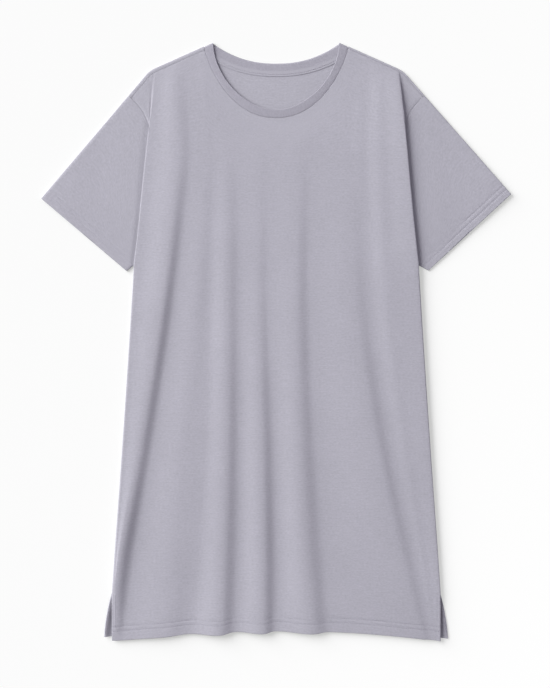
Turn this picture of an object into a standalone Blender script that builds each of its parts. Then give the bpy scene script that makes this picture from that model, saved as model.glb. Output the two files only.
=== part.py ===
"""A short-sleeved t-shirt dress in cotton jersey, laid out flat and face up.

The cut is a wide A-line body with a round ribbed neck, shoulder seams set forward of the shoulder
fold, set-in sleeves that lie out to the sides, and a slit at the foot of each side seam. The front
lies on the back in soft folds that run down to the hem, and at the armholes it turns under over the
sleeves. Every piece is one wall of cloth, and neighbours are a seam's gap apart.

X runs to the wearer's left, Y up to the neck and Z up from the surface that the dress lies on.
The sizes are in millimetres; the meshes are built in metres.
"""

import math
from typing import NamedTuple

import bmesh
import bpy
import numpy as np

MM = 0.001

# Cloth
JERSEY = 1.2            # thickness of one layer of jersey
TAPE = 1.0              # thickness of the neck tape
RIB = 2.0               # thickness of the folded neckband
SEAM_GAP = 0.3          # space between two pieces at a seam
ARMHOLE_GAP = 0.4       # space at the armholes, where two curved edges meet
CORNER_GAP = 0.65       # space beside the neckband where it turns over the shoulder

# Shoulder and sleeve fold, seen from above
NECK_POINT = (116.0, 472.0)         # where the shoulder fold meets the neckband
SHOULDER_CORNER = (202.5, 433.3)    # where it turns down into the sleeve
CORNER_ROUNDING = 10.0
FOLD_START = 94.0                   # along the fold from the neck: the front's armhole fold starts
ARMHOLE_START = 147.0               # along the fold from the neck: the armhole seam crosses it

# Body
UNDERARM = (227.4, 122.0)
SLIT_TOP = (262.5, -394.0)
SIDE_FLARE = 0.060                  # half width gained for each mm down the side, at the underarm
HEM_Y = -463.5                      # middle of the hem
HEM_CORNER_DROP = 14.3              # the front hem's corners lie this much lower
BACK_HEM_Y = -461.0
BACK_HEM_CORNER_DROP = 11.6
HEM_CURVE = 2.2
BACK_FLARE_CURVE = 1.7              # how soon the back's slit edge swings out below the slit's top
BACK_INSET = 0.4                    # how far the back lies inside the side line
CHEST_Y = 300.0                     # above this line the sections bend round the neckline

# Neck: a seam and a folded edge, each a superellipse in front and a shallow curve behind
NECK_HALF_WIDTH = 114.6
NECK_AXIS_Y = 469.6                 # where the band starts to turn over the shoulder
NECK_DEPTH = 111.5
NECK_POWER = 1.8
BACK_NECK_DEPTH = 35.0
BAND_HALF_WIDTH = 100.6
BAND_AXIS_Y = 476.0
BAND_DEPTH = 106.0
BACK_BAND_DEPTH = 31.4
BACK_NECK_POWER = 2.25
TAPE_WIDTH = 10.5
TAPE_REACH = 0.9                    # share of the back neck seam that the tape covers

# Heights of the middle of each layer above the surface
BACK_Z = JERSEY / 2
SHOULDER_Z = 4.2
SLEEVE_TOP_Z = 4.2
SLEEVE_PRESSED_Z = 2.4              # where the front lies on the sleeve
SLEEVE_RISE = 24.0                  # width over which it rises again beyond the front's fold
FRONT_ON_BACK_Z = 2.15              # the front's side edge, on the back
FRONT_ON_SLEEVE_Z = 3.9             # the front's armhole edge, on the sleeve
BAND_FRONT_Z = 4.5
BAND_BACK_Z = RIB / 2
TAPE_Z = JERSEY + SEAM_GAP + TAPE / 2

EDGE_CLIMB = (96.0, 118.0)          # between these heights the front's edge climbs on to the sleeve
SHOULDER_ROLL = (SHOULDER_Z - BACK_Z) / 2       # radius of the cloth's middle round a shoulder
SHOULDER_REACH = SHOULDER_ROLL + JERSEY / 2     # from the fold's outside to the roll's axis
UNDERARM_ROLL = (SLEEVE_PRESSED_Z - BACK_Z) / 2
UNDERARM_REACH = UNDERARM_ROLL + JERSEY / 2

EDGE_ROUNDING = 9.0                 # width over which the front rounds down at its sides
SIDE_TURN_UNDER = 4.6
OPENING_TOP_Y = -386.0              # below this the side edge opens out flat
SLIT_OPENING = 24.0                 # over this height
HEM_FADE = 150.0                    # height over which the hem's own curve straightens
HEM_WAVE = 0.95                     # how far a fold pushes the hem down, for each mm that it stands


class Side(NamedTuple):
    """What differs between the two sides of the dress as it lies, for a positive X."""

    name: str
    sign: int
    cuff_top: tuple
    cuff_low: tuple
    seam_inset: float   # how far the shoulder seam lies inside the shoulder fold
    fold_bow: float     # how far out the front's armhole fold bows over the sleeve
    back_corner: tuple  # the back's hem corner


LEFT = Side("sleeve_left", 1, (375.7, 236.0), (243.5, 113.8), 3.4, 3.0, (275.3, -473.8))
RIGHT = Side("sleeve_right", -1, (375.7, 229.0), (239.0, 113.0), 5.0, -3.0, (273.3, -471.9))


class Armhole(NamedTuple):
    """An armhole seam: how far in it runs, and its bend towards the underarm."""

    x: float
    y: float
    bend: float


FRONT_ARMHOLE = Armhole(195.0, 250.0, 2.2)
BACK_ARMHOLE = Armhole(206.0, 240.0, 2.2)


class Crease(NamedTuple):
    """A line down the front at which its slope turns: X and Z where it crosses CREASE_HEIGHTS."""

    name: str
    x: tuple
    z: tuple


CREASE_HEIGHTS = (300.0, 60.0, -180.0, -466.0)
CREASES = (
    Crease("right side ridge", (-157, -188, -224, -251), (6.8, 7.4, 7.2, 5.4)),
    Crease("right side valley", (-127, -161, -196, -240), (4.9, 2.9, 2.8, 3.2)),
    Crease("right neck line", (-109, -120, -150, -198), (4.7, 4.2, 4.9, 4.8)),
    Crease("dip", (-99, -107, -123, -141), (4.6, 4.0, 4.4, 3.0)),
    Crease("first ridge", (-80, -80, -82, -94), (4.7, 5.4, 7.4, 7.7)),
    Crease("first valley", (-58, -56, -54, -58), (4.6, 3.8, 4.1, 3.3)),
    Crease("second ridge", (-29, -30, -26, -24), (4.7, 5.0, 6.8, 7.2)),
    Crease("second valley", (-10, -10, 0, 11), (4.6, 4.1, 3.6, 2.9)),
    Crease("third ridge", (32, 30, 35, 53), (4.8, 5.5, 6.6, 6.9)),
    Crease("third valley", (58, 56, 69, 94), (4.6, 3.4, 3.1, 2.9)),
    Crease("left neck line", (110, 115, 141, 192), (4.8, 4.7, 5.5, 4.8)),
    Crease("left side valley", (136, 150, 187, 240), (5.0, 3.0, 2.8, 3.6)),
    Crease("left side ridge", (171, 186, 213, 251), (6.2, 5.6, 4.8, 4.4)),
)
LEAST_COLUMN = 2.0                  # a crease stays this far inside the side's rounding
CREASE_STEPS = 3                    # columns of the front from one crease to the next
NECK_COLUMNS = CREASE_STEPS * 8     # those between the two neck lines end at the neckline
SHOULDER_COLUMNS = CREASE_STEPS * 3


class SideHeight(NamedTuple):
    """Height of the front where it starts to round down at its side."""

    y: float
    z: float


SIDE_HEIGHTS = (
    SideHeight(-480.0, 4.4),
    SideHeight(-380.0, 5.2),
    SideHeight(90.0, 5.6),
    SideHeight(130.0, 6.5),
    SideHeight(300.0, 6.5),
)


class Turn(NamedTuple):
    """A column of the front's turned-under edge, placed by shares of three distances."""

    inward: float       # from the fold back to the flat of the panel
    to_seam: float      # from the fold to the seam
    drop: float         # from the panel down to the lower layer


TURNS = (
    Turn(0.40, 0.00, 0.08),
    Turn(0.10, 0.00, 0.28),
    Turn(0.00, 0.00, 0.56),
    Turn(0.00, 0.08, 0.87),
    Turn(0.00, 0.26, 0.98),
    Turn(0.00, 0.58, 1.00),
    Turn(0.00, 1.00, 1.00),
)

FOLD_TURN = 2                       # the turn at the fold's own outermost line

# Rows of the front and the back, from the hem up
HEM_ROWS = (0.0, 17.0, 35.0, 52.0, 64.0, 74.0, 86.0)    # above the hem, past the slit's top
BODY_ROWS = 9
ARMHOLE_ROWS = 6
YOKE_ROWS = 6
CROSSING_ROW = 3                    # row of the yoke at which the armhole seam and fold cross
BACK_BODY_ROWS = 4
BACK_NECK_COLUMNS = 18
SLEEVE_ROWS = (0.09, 0.18, 0.32, 0.48, 0.65, 0.83, 1.0)    # shares, from the front's fold to the cuff
NEAR_SEAM = 0.05                    # share of a sleeve, where the front's fold doesn't lie on it
ROLL_STEPS = 5

# The neckband's section: shares of its width from the seam and of half its thickness
BAND_SECTION = (
    (0.00, -0.8), (0.00, 0.8), (0.08, 1.0), (0.50, 1.0), (0.90, 1.0), (0.98, 0.6),
    (1.00, 0.0), (0.98, -0.6), (0.90, -1.0), (0.50, -1.0), (0.08, -1.0),
)

COLOURS = {
    "jersey": (0.475, 0.465, 0.525, 1.0),
    "rib": (0.455, 0.445, 0.505, 1.0),
    "tape": (0.440, 0.430, 0.490, 1.0),
}


# ---------------------------------------------------------------- curves

def ease(share):
    """Goes from 0 to 1 with level ends."""
    share = min(max(share, 0.0), 1.0)
    return share * share * (3.0 - 2.0 * share)


def mix(start, end, share):
    return start + (end - start) * share


def mix_points(start, end, share):
    return tuple(mix(a, b, share) for a, b in zip(start, end))


class Line:
    """A curve in plan that can be read at any distance along it, and to the right of it."""

    def __init__(self, points):
        self.points = np.array(points, dtype=float)
        steps = np.linalg.norm(np.diff(self.points, axis=0), axis=1)
        self.distances = np.concatenate(([0.0], np.cumsum(steps)))
        self.length = self.distances[-1]
        along = np.gradient(self.points, self.distances, axis=0)
        along /= np.linalg.norm(along, axis=1)[:, None]
        self.rights = np.stack((along[:, 1], -along[:, 0]), axis=1)

    def at(self, distance, right=0.0):
        x, y = (np.interp(distance, self.distances, self.points[:, axis]) for axis in (0, 1))
        rights = [np.interp(distance, self.distances, self.rights[:, axis]) for axis in (0, 1)]
        return (x + rights[0] * right, y + rights[1] * right)

    def spaced(self, count, right=0.0):
        return [self.at(self.length * step / count, right) for step in range(count + 1)]


def shoulder_fold(side):
    """The fold along the top: from the neck over the rounded shoulder to the cuff."""
    neck, corner, cuff = (np.array(p) for p in (NECK_POINT, SHOULDER_CORNER, side.cuff_top))
    start = corner + (neck - corner) / np.linalg.norm(neck - corner) * CORNER_ROUNDING
    end = corner + (cuff - corner) / np.linalg.norm(cuff - corner) * CORNER_ROUNDING
    points = [mix(neck, start, step / 20) for step in range(20)]
    for step in range(11):
        share = step / 10
        points.append((1 - share) ** 2 * start + 2 * share * (1 - share) * corner + share**2 * end)
    points += [mix(end, cuff, step / 40) for step in range(1, 41)]
    return Line(points)


SHOULDER_FOLDS = {side: shoulder_fold(side) for side in (LEFT, RIGHT)}


def side_half_width(y):
    """Half width of the body at its side seam."""
    below = UNDERARM[1] - y
    to_slit = UNDERARM[1] - SLIT_TOP[1]
    short = SLIT_TOP[0] - UNDERARM[0] - SIDE_FLARE * to_slit
    return min(UNDERARM[0] + SIDE_FLARE * below + short * (below / to_slit) ** 2, SLIT_TOP[0])


def fold_half_width(side, y):
    """Half width of the front at its armhole fold, from the underarm to the shoulder."""
    top_x, top_y = SHOULDER_FOLDS[side].at(FOLD_START)
    share = (y - UNDERARM[1]) / (top_y - UNDERARM[1])
    return mix(UNDERARM[0], top_x, share) + side.fold_bow * 2.0 * share * (1.0 - share)


def armhole_x(side, armhole, y):
    """X of an armhole seam, which meets the shoulder fold squarely."""
    if y <= armhole.y:
        share = (armhole.y - y) / (armhole.y - UNDERARM[1])
        return mix(armhole.x, UNDERARM[0], share**armhole.bend)
    fold = SHOULDER_FOLDS[side]
    top_x, top_y = fold.at(ARMHOLE_START)
    inner_x, inner_y = fold.at(ARMHOLE_START, 1.0)
    slope = (top_x - inner_x) / (top_y - inner_y)
    rise, run = top_y - armhole.y, top_x - armhole.x
    return armhole.x + run * ((y - armhole.y) / rise) ** (slope * rise / run)


def crossing_y(side):
    """Height at which the front's armhole seam comes out from under its fold."""
    heights = np.linspace(CHEST_Y, SHOULDER_CORNER[1], 400)
    under = [fold_half_width(side, y) - armhole_x(side, FRONT_ARMHOLE, y) for y in heights]
    return heights[next(index for index, distance in enumerate(under) if distance <= 0.0)]


def armhole_seam(side, armhole, depth, clearance):
    """Points up an armhole seam, one for each row, to a depth inside the shoulder fold."""
    top = SHOULDER_FOLDS[side].at(ARMHOLE_START + clearance, depth)
    crossing = crossing_y(side)
    heights = [mix(UNDERARM[1], CHEST_Y, step / ARMHOLE_ROWS) for step in range(ARMHOLE_ROWS)]
    heights += [mix(CHEST_Y, crossing, step / CROSSING_ROW) for step in range(CROSSING_ROW)]
    rows_above = YOKE_ROWS - CROSSING_ROW
    heights += [mix(crossing, top[1], step / rows_above) for step in range(rows_above + 1)]
    fine = np.linspace(UNDERARM[1], top[1] + 1.0, 160)
    line = Line([(armhole_x(side, armhole, y), y) for y in fine])
    seam = [line.at(np.interp(y, fine, line.distances), clearance) for y in heights]
    return seam[:-1] + [top]


def neck_curve(half_width, depth, top_y):
    """The front neckline in plan, from the wearer's right to the left."""
    points = []
    for step in range(181):
        angle = math.pi * step / 180
        across = abs(math.cos(angle)) ** (2 / NECK_POWER)
        down = math.sin(angle) ** (2 / NECK_POWER) if step not in (0, 180) else 0.0
        points.append((-math.copysign(across, math.cos(angle)) * half_width, top_y - down * depth))
    return Line(points)


def back_neck_curve(half_width, depth, top_y, reach=1.0):
    """The back neckline in plan, from the wearer's right to the left."""
    points = []
    for step in range(121):
        share = -math.cos(math.pi * step / 120) * reach
        points.append((share * half_width, top_y - depth * (1.0 - abs(share) ** BACK_NECK_POWER)))
    return Line(points)


NECK_SEAM = neck_curve(NECK_HALF_WIDTH, NECK_DEPTH, NECK_AXIS_Y)
BACK_NECK_SEAM = back_neck_curve(NECK_HALF_WIDTH, BACK_NECK_DEPTH, NECK_AXIS_Y)


def neck_end(side, depth):
    """Where a line inside the shoulder fold starts beside the neckband, along the fold."""
    fold = SHOULDER_FOLDS[side]
    first_x = fold.at(0.0, depth)[0]
    step_x = fold.at(1.0, depth)[0] - first_x
    return max(0.0, (NECK_HALF_WIDTH + CORNER_GAP - first_x) / step_x)


# ---------------------------------------------------------------- heights

CREASE_CUBICS = [
    (np.polyfit(CREASE_HEIGHTS, crease.x, 3), np.polyfit(CREASE_HEIGHTS, crease.z, 3))
    for crease in CREASES
]


def side_height(y):
    return float(np.interp(y, [row.y for row in SIDE_HEIGHTS], [row.z for row in SIDE_HEIGHTS]))


def edge_height(y):
    """Height of the front's seam edge: on the back below the underarm, on the sleeve above it."""
    start, end = EDGE_CLIMB
    return mix(FRONT_ON_BACK_Z, FRONT_ON_SLEEVE_Z, ease((y - start) / (end - start)))


def sleeve_height(side, x, y):
    """Height of a sleeve's upper layer, pressed down where the front lies over it."""
    outside_fold = x - fold_half_width(side, y)
    return mix(SLEEVE_PRESSED_Z, SLEEVE_TOP_Z, ease(outside_fold / SLEEVE_RISE))


# ---------------------------------------------------------------- front

def panel_section(y):
    """The front's section at a height up to the chest line, without its turned-under edges."""
    reach = {}
    for side in (RIGHT, LEFT):
        half_width = fold_half_width(side, y) if y > UNDERARM[1] else side_half_width(y)
        reach[side] = half_width - EDGE_ROUNDING
    lines = [(-reach[RIGHT], side_height(y))]
    for cubic_x, cubic_z in CREASE_CUBICS:
        x = np.clip(np.polyval(cubic_x, y), LEAST_COLUMN - reach[RIGHT], reach[LEFT] - LEAST_COLUMN)
        lines.append((x, np.polyval(cubic_z, y)))
    lines.append((reach[LEFT], side_height(y)))
    section = [lines[0]]
    for (x0, z0), (x1, z1) in zip(lines, lines[1:]):
        for step in range(1, CREASE_STEPS + 1):
            share = step / CREASE_STEPS
            section.append((mix(x0, x1, share), mix(z0, z1, (1.0 - math.cos(math.pi * share)) / 2)))
    return section


def turned_edge(flat, fold, seam, low_z, end_z, opened=0.0):
    """The front's edge, from the flat of the panel over its fold and under to its seam.

    flat holds X, Y and Z, fold and seam X and Y. An opened edge lies on in the panel's own plane.
    """
    points = []
    for step, turn in enumerate(TURNS, start=1):
        plan = mix_points(fold, seam, turn.to_seam)
        if turn.inward:
            plan = mix_points(fold, flat[:2], turn.inward)
        z = mix(flat[2], mix(low_z, end_z, turn.to_seam), turn.drop)
        plan = mix_points(plan, mix_points(flat[:2], fold, step / len(TURNS)), opened)
        points.append((*plan, mix(z, flat[2], opened)))
    return points


def with_edges(row, edges):
    return edges[RIGHT][::-1] + row + edges[LEFT]


def lower_row(y, seams):
    """The front's row at a height up to the chest line; seams holds its armhole points if any."""
    row = [(x, y, z) for x, z in panel_section(y)]
    opened = ease((OPENING_TOP_Y - y) / SLIT_OPENING)
    edges = {}
    for side in (RIGHT, LEFT):
        if seams:
            fold_x = fold_half_width(side, y)
            seam = (side.sign * seams[side][0], seams[side][1])
        else:
            fold_x = side_half_width(y) - JERSEY / 2 * (1.0 - opened)
            seam = (side.sign * (fold_x - SIDE_TURN_UNDER), y)
        flat = row[0] if side is RIGHT else row[-1]
        height = edge_height(y)
        edges[side] = turned_edge(flat, (side.sign * fold_x, y), seam, height, height, opened)
    return with_edges(row, edges)


def with_hem_curve(row, y):
    """Bends a row near the hem: down at its corners and where a fold stands up."""
    fade = 1.0 - ease((y - HEM_Y) / HEM_FADE)
    bent = []
    for x, row_y, z in row:
        corner = -HEM_CORNER_DROP * abs(x / SLIT_TOP[0]) ** HEM_CURVE
        wave = -HEM_WAVE * (z - SIDE_HEIGHTS[0].z)
        bent.append((x, row_y + (corner + wave) * fade, z))
    return bent


def yoke_top():
    """Where the front's columns end: along a shoulder seam, the neckline and the other seam."""
    top = NECK_SEAM.spaced(NECK_COLUMNS, SEAM_GAP)
    for side in (RIGHT, LEFT):
        depth = side.seam_inset + SEAM_GAP / 2
        start = neck_end(side, depth)
        seam = []
        for step in range(SHOULDER_COLUMNS + 1):
            distance = mix(start, FOLD_START - EDGE_ROUNDING, step / SHOULDER_COLUMNS)
            x, y = SHOULDER_FOLDS[side].at(distance, depth)
            seam.append((side.sign * x, y))
        top = seam[::-1] + top[1:] if side is RIGHT else top[:-1] + seam
    return top


def yoke_row(share, seams):
    """The front's row at a share of the way from the chest line to its top edge."""
    row = []
    for (x, z), (top_x, top_y) in zip(panel_section(CHEST_Y), yoke_top()):
        plan = mix_points((x, CHEST_Y), (top_x, top_y), share)
        row.append((*plan, mix(z, SHOULDER_Z, ease(share))))
    edges = {}
    for side in (RIGHT, LEFT):
        seam_x, seam_y = seams[side]
        fold = (fold_half_width(side, seam_y), seam_y)
        above = share - CROSSING_ROW / YOKE_ROWS
        if above > 0.0:
            crossing = crossing_y(side)
            start = (fold_half_width(side, crossing), crossing)
            end = SHOULDER_FOLDS[side].at(FOLD_START, side.seam_inset + SEAM_GAP / 2)
            fold = mix_points(start, end, above / (1.0 - CROSSING_ROW / YOKE_ROWS))
        fold = (side.sign * fold[0], fold[1])
        flat = row[0] if side is RIGHT else row[-1]
        low_z = mix(FRONT_ON_SLEEVE_Z, SHOULDER_Z, ease(share))
        end_z = max(FRONT_ON_SLEEVE_Z, sleeve_height(side, seam_x, seam_y))
        edges[side] = turned_edge(flat, fold, (side.sign * seam_x, seam_y), low_z, end_z)
        if above == 0.0:
            edges[side][FOLD_TURN:] = [edges[side][FOLD_TURN]] * (len(TURNS) - FOLD_TURN)
    return with_edges(row, edges)


def shoulder_row(side):
    """Distances along the shoulder fold of the front's columns beyond its armhole fold."""
    distances = []
    for turn in TURNS:
        distance = FOLD_START - turn.inward * EDGE_ROUNDING
        distances.append(mix(distance, ARMHOLE_START - ARMHOLE_GAP / 2, turn.to_seam))
    return distances


def make_front():
    seams = {
        side: armhole_seam(side, FRONT_ARMHOLE, side.seam_inset + SEAM_GAP / 2, -ARMHOLE_GAP / 2)
        for side in (LEFT, RIGHT)
    }
    for seam in seams.values():
        seam[0] = (seam[0][0] - SIDE_TURN_UNDER, seam[0][1])
    heights = [HEM_Y + rise for rise in HEM_ROWS]
    top_of_slit = heights[-1]
    body_top = UNDERARM[1] - 32.0
    heights += [mix(top_of_slit, body_top, step / BODY_ROWS) for step in range(1, BODY_ROWS + 1)]
    heights.append(UNDERARM[1] - 16.0)
    rows = [with_hem_curve(lower_row(y, None), y) for y in heights]
    for step in range(ARMHOLE_ROWS + 1):
        y = mix(UNDERARM[1], CHEST_Y, step / ARMHOLE_ROWS)
        rows.append(lower_row(y, {side: seams[side][step] for side in seams}))
    for step in range(1, YOKE_ROWS + 1):
        row_seams = {side: seams[side][ARMHOLE_ROWS + step] for side in seams}
        rows.append(yoke_row(step / YOKE_ROWS, row_seams))
    for side in (RIGHT, LEFT):
        depth = side.seam_inset + SEAM_GAP / 2
        for column, distance in enumerate(shoulder_row(side), start=1):
            x, y = SHOULDER_FOLDS[side].at(distance, depth)
            index = len(TURNS) - column if side is RIGHT else column - 1 - len(TURNS)
            rows[-1][index] = (side.sign * x, y, SHOULDER_Z)
    mesh = bmesh.new()
    turned_under = len(TURNS) - FOLD_TURN - 1
    below_crossing = len(rows) - YOKE_ROWS + CROSSING_ROW - 2
    inner = len(rows[0]) - turned_under
    add_grid(mesh, rows[:below_crossing + 1])
    add_grid(mesh, [row[turned_under:inner] for row in rows[below_crossing:below_crossing + 2]])
    add_grid(mesh, rows[below_crossing + 1:])
    bmesh.ops.remove_doubles(mesh, verts=mesh.verts, dist=0.02 * MM)
    return cloth("front", mesh, JERSEY, "jersey")


# ---------------------------------------------------------------- back

def back_half_width(side, y):
    """Half width of the back below the underarm, with its slit edge flaring out."""
    flare = 0.0
    if y < SLIT_TOP[1]:
        share = min((SLIT_TOP[1] - y) / (SLIT_TOP[1] - side.back_corner[1]), 1.0)
        flare = (side.back_corner[0] - SLIT_TOP[0]) * (1.0 - (1.0 - share) ** BACK_FLARE_CURVE)
    return side_half_width(y) + flare - BACK_INSET


def shoulder_roll(side):
    """Rows of the back's roll over the shoulder fold, from its flat up and over to the seam.

    Each runs from the neck to the armhole.
    """
    distances = [(FOLD_START - EDGE_ROUNDING) * step / 3 for step in range(1, 4)] + shoulder_row(side)
    depths = []
    for step in range(ROLL_STEPS + 1):
        angle = math.pi * step / ROLL_STEPS
        depths.append((
            SHOULDER_REACH - SHOULDER_ROLL * math.sin(angle),
            BACK_Z + SHOULDER_ROLL * (1.0 - math.cos(angle)),
        ))
    depths.append((side.seam_inset - SEAM_GAP / 2, SHOULDER_Z))
    rows = []
    for depth, z in depths:
        row = [SHOULDER_FOLDS[side].at(along, depth) for along in (neck_end(side, depth), *distances)]
        rows.append([(side.sign * x, y, z) for x, y in row])
    return rows


def make_back():
    rolls = {side: shoulder_roll(side) for side in (RIGHT, LEFT)}
    neckline = BACK_NECK_SEAM.spaced(BACK_NECK_COLUMNS, SEAM_GAP)[1:-1]
    top = [point[:2] for point in rolls[RIGHT][0][::-1]] + neckline
    top += [point[:2] for point in rolls[LEFT][0]]
    columns = len(top) - 1
    heights = [BACK_HEM_Y + rise for rise in HEM_ROWS]
    slit_top = heights[-1]
    heights += [mix(slit_top, UNDERARM[1], step / BACK_BODY_ROWS) for step in range(1, BACK_BODY_ROWS)]
    rows = []
    for y in heights:
        fade = 1.0 - ease((y - BACK_HEM_Y) / HEM_FADE)
        row = []
        for column in range(columns + 1):
            x = mix(-back_half_width(RIGHT, y), back_half_width(LEFT, y), column / columns)
            corner = -BACK_HEM_CORNER_DROP * abs(x / SLIT_TOP[0]) ** HEM_CURVE
            row.append((x, y + corner * fade, BACK_Z))
        rows.append(row)
    seams = {side: armhole_seam(side, BACK_ARMHOLE, SHOULDER_REACH, -ARMHOLE_GAP / 2) for side in rolls}
    for step in range(ARMHOLE_ROWS + YOKE_ROWS + 1):
        right_x, right_y = seams[RIGHT][step]
        left_x, left_y = seams[LEFT][step]
        share = max(0, step - ARMHOLE_ROWS) / YOKE_ROWS
        row = []
        for column in range(columns + 1):
            across = column / columns
            start = (mix(-back_chest(RIGHT), back_chest(LEFT), across), CHEST_Y)
            if step <= ARMHOLE_ROWS:
                point = (mix(-right_x, left_x, across), mix(right_y, left_y, across))
            else:
                point = mix_points(start, top[column], share)
            row.append((*point, BACK_Z))
        row[0] = (-right_x, right_y, BACK_Z)
        row[-1] = (left_x, left_y, BACK_Z)
        rows.append(row)
    mesh = grid(rows)
    add_grid(mesh, rolls[RIGHT], flip=False)
    add_grid(mesh, rolls[LEFT], flip=True)
    bmesh.ops.remove_doubles(mesh, verts=mesh.verts, dist=0.02 * MM)
    return cloth("back", mesh, JERSEY, "jersey")


def back_chest(side):
    return armhole_x(side, BACK_ARMHOLE, CHEST_Y) - ARMHOLE_GAP / 2


# ---------------------------------------------------------------- sleeves

def half_turn(start, end, outward, radius):
    """The points of a half turn of cloth between two layers, without its ends."""
    points = []
    for step in range(1, ROLL_STEPS):
        angle = math.pi * step / ROLL_STEPS
        x, y, z = mix_points(start, end, (1.0 - math.cos(angle)) / 2)
        out = radius * math.sin(angle)
        points.append((x + outward[0] * out, y + outward[1] * out, z))
    return points


def sleeve_layer(side, seam, cuff_low, cuff_top, covered):
    """Rows across one layer of the sleeve, from its armhole to its cuff.

    On a covered layer one row follows the fold of the front that lies over it.
    """
    distances = Line(seam).distances
    columns = []
    for start, distance in zip(seam, distances):
        end = mix_points(cuff_low, cuff_top, distance / distances[-1])
        near = NEAR_SEAM
        if covered:
            inside, outside = (x - fold_half_width(side, y) for x, y in (start, end))
            near = max(near, inside / (inside - outside))
        shares = [0.0, near / 2, near] + [mix(near, 1.0, share) for share in SLEEVE_ROWS]
        columns.append([mix_points(start, end, share) for share in shares])
    return list(zip(*columns))


def make_sleeve(side):
    clearance = ARMHOLE_GAP / 2
    fold = SHOULDER_FOLDS[side]
    along_top = np.array(side.cuff_top) - np.array(fold.at(ARMHOLE_START))
    along_top /= np.linalg.norm(along_top)
    top_out = np.array((-along_top[1], along_top[0]))
    along_cuff = np.array(side.cuff_top) - np.array(side.cuff_low)
    along_cuff /= np.linalg.norm(along_cuff)
    along_underarm = np.array(side.cuff_low) - np.array(UNDERARM)
    along_underarm /= np.linalg.norm(along_underarm)
    low_out = np.array((along_underarm[1], -along_underarm[0]))
    cuff_low = np.array(side.cuff_low) + along_cuff * UNDERARM_REACH
    cuff_top = np.array(side.cuff_top) - along_cuff * SHOULDER_REACH
    underarm = np.array((UNDERARM[0] + clearance, UNDERARM[1])) - low_out * UNDERARM_REACH
    start_top = fold.at(ARMHOLE_START + clearance, SHOULDER_REACH)
    lower = armhole_seam(side, BACK_ARMHOLE, SHOULDER_REACH, clearance)
    upper = armhole_seam(side, FRONT_ARMHOLE, side.seam_inset + SEAM_GAP / 2, clearance)
    lower = [tuple(underarm), *lower[1:]]
    upper = [tuple(underarm), *upper[1:], start_top]
    rings = []
    for low_row, high_row in zip(
        sleeve_layer(side, lower, cuff_low, cuff_top, covered=False),
        sleeve_layer(side, upper, cuff_low, cuff_top, covered=True),
    ):
        below = [(x, y, BACK_Z) for x, y in low_row]
        above = [(x, y, sleeve_height(side, x, y)) for x, y in high_row]
        above[0] = (*above[0][:2], SLEEVE_PRESSED_Z)
        ring = below + half_turn(below[-1], above[-1], top_out, SHOULDER_ROLL)
        ring += above[::-1] + half_turn(above[0], below[0], low_out, UNDERARM_ROLL)
        rings.append([(side.sign * x, y, z) for x, y, z in ring])
    return cloth(side.name, grid(rings, closed=True), JERSEY, "jersey")


# ---------------------------------------------------------------- neckband and tape

class Station(NamedTuple):
    """A place along the neckband: its seam and its folded edge in plan, and which way it faces."""

    seam: tuple
    folded: tuple
    z: float
    facing: tuple       # in plan and up


def band_turn(start, end):
    """The neckband's half turn over a shoulder, without its ends."""
    radius = (BAND_FRONT_Z - BAND_BACK_Z) / 2
    seam, folded = np.array(start.seam), np.array(start.folded)
    outward = np.array((seam[1] - folded[1], folded[0] - seam[0])) / np.linalg.norm(folded - seam)
    outward *= math.copysign(1.0, outward[1])
    stations = []
    for step in range(1, ROLL_STEPS):
        angle = math.pi * step / ROLL_STEPS
        up = math.cos(angle) * start.facing[2]
        out = outward * math.sin(angle)
        share = step / ROLL_STEPS
        stations.append(Station(
            tuple(mix(seam, np.array(end.seam), share) + out * radius),
            tuple(mix(folded, np.array(end.folded), share) + out * radius),
            (BAND_FRONT_Z + BAND_BACK_Z) / 2 + radius * up,
            (out[0], out[1], up),
        ))
    return stations


def band_stations():
    """The neckband's stations, once round the neck."""
    folded_edge = neck_curve(BAND_HALF_WIDTH, BAND_DEPTH, BAND_AXIS_Y)
    back_folded_edge = back_neck_curve(BAND_HALF_WIDTH, BACK_BAND_DEPTH, BAND_AXIS_Y)
    front = [
        Station(seam, folded, BAND_FRONT_Z, (0.0, 0.0, 1.0))
        for seam, folded in zip(NECK_SEAM.spaced(NECK_COLUMNS), folded_edge.spaced(NECK_COLUMNS))
    ]
    back = [
        Station(seam, folded, BAND_BACK_Z, (0.0, 0.0, -1.0))
        for seam, folded in zip(
            BACK_NECK_SEAM.spaced(BACK_NECK_COLUMNS), back_folded_edge.spaced(BACK_NECK_COLUMNS)
        )
    ][::-1]
    return front + band_turn(front[-1], back[0]) + back + band_turn(back[-1], front[0])


def make_neckband():
    rings = []
    for station in band_stations():
        ring = []
        for across, through in BAND_SECTION:
            x, y = mix_points(station.seam, station.folded, across)
            lean = [through * RIB / 2 * value for value in station.facing]
            ring.append((x + lean[0], y + lean[1], station.z + lean[2]))
        rings.append(ring)
    mesh = grid([*rings, rings[0]], closed=True)
    bmesh.ops.remove_doubles(mesh, verts=mesh.verts, dist=0.001 * MM)
    bmesh.ops.recalc_face_normals(mesh, faces=mesh.faces)
    return piece("neckband", mesh, "rib")


def make_neck_tape():
    seam = back_neck_curve(NECK_HALF_WIDTH, BACK_NECK_DEPTH, NECK_AXIS_Y, TAPE_REACH)
    rows = []
    for share in (1.0, 0.5, 0.0):
        line = seam.spaced(24, SEAM_GAP + TAPE_WIDTH * share)
        rows.append([(*point, TAPE_Z) for point in line])
    return cloth("neck_tape", grid(rows), TAPE, "tape")


# ---------------------------------------------------------------- meshes

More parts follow.
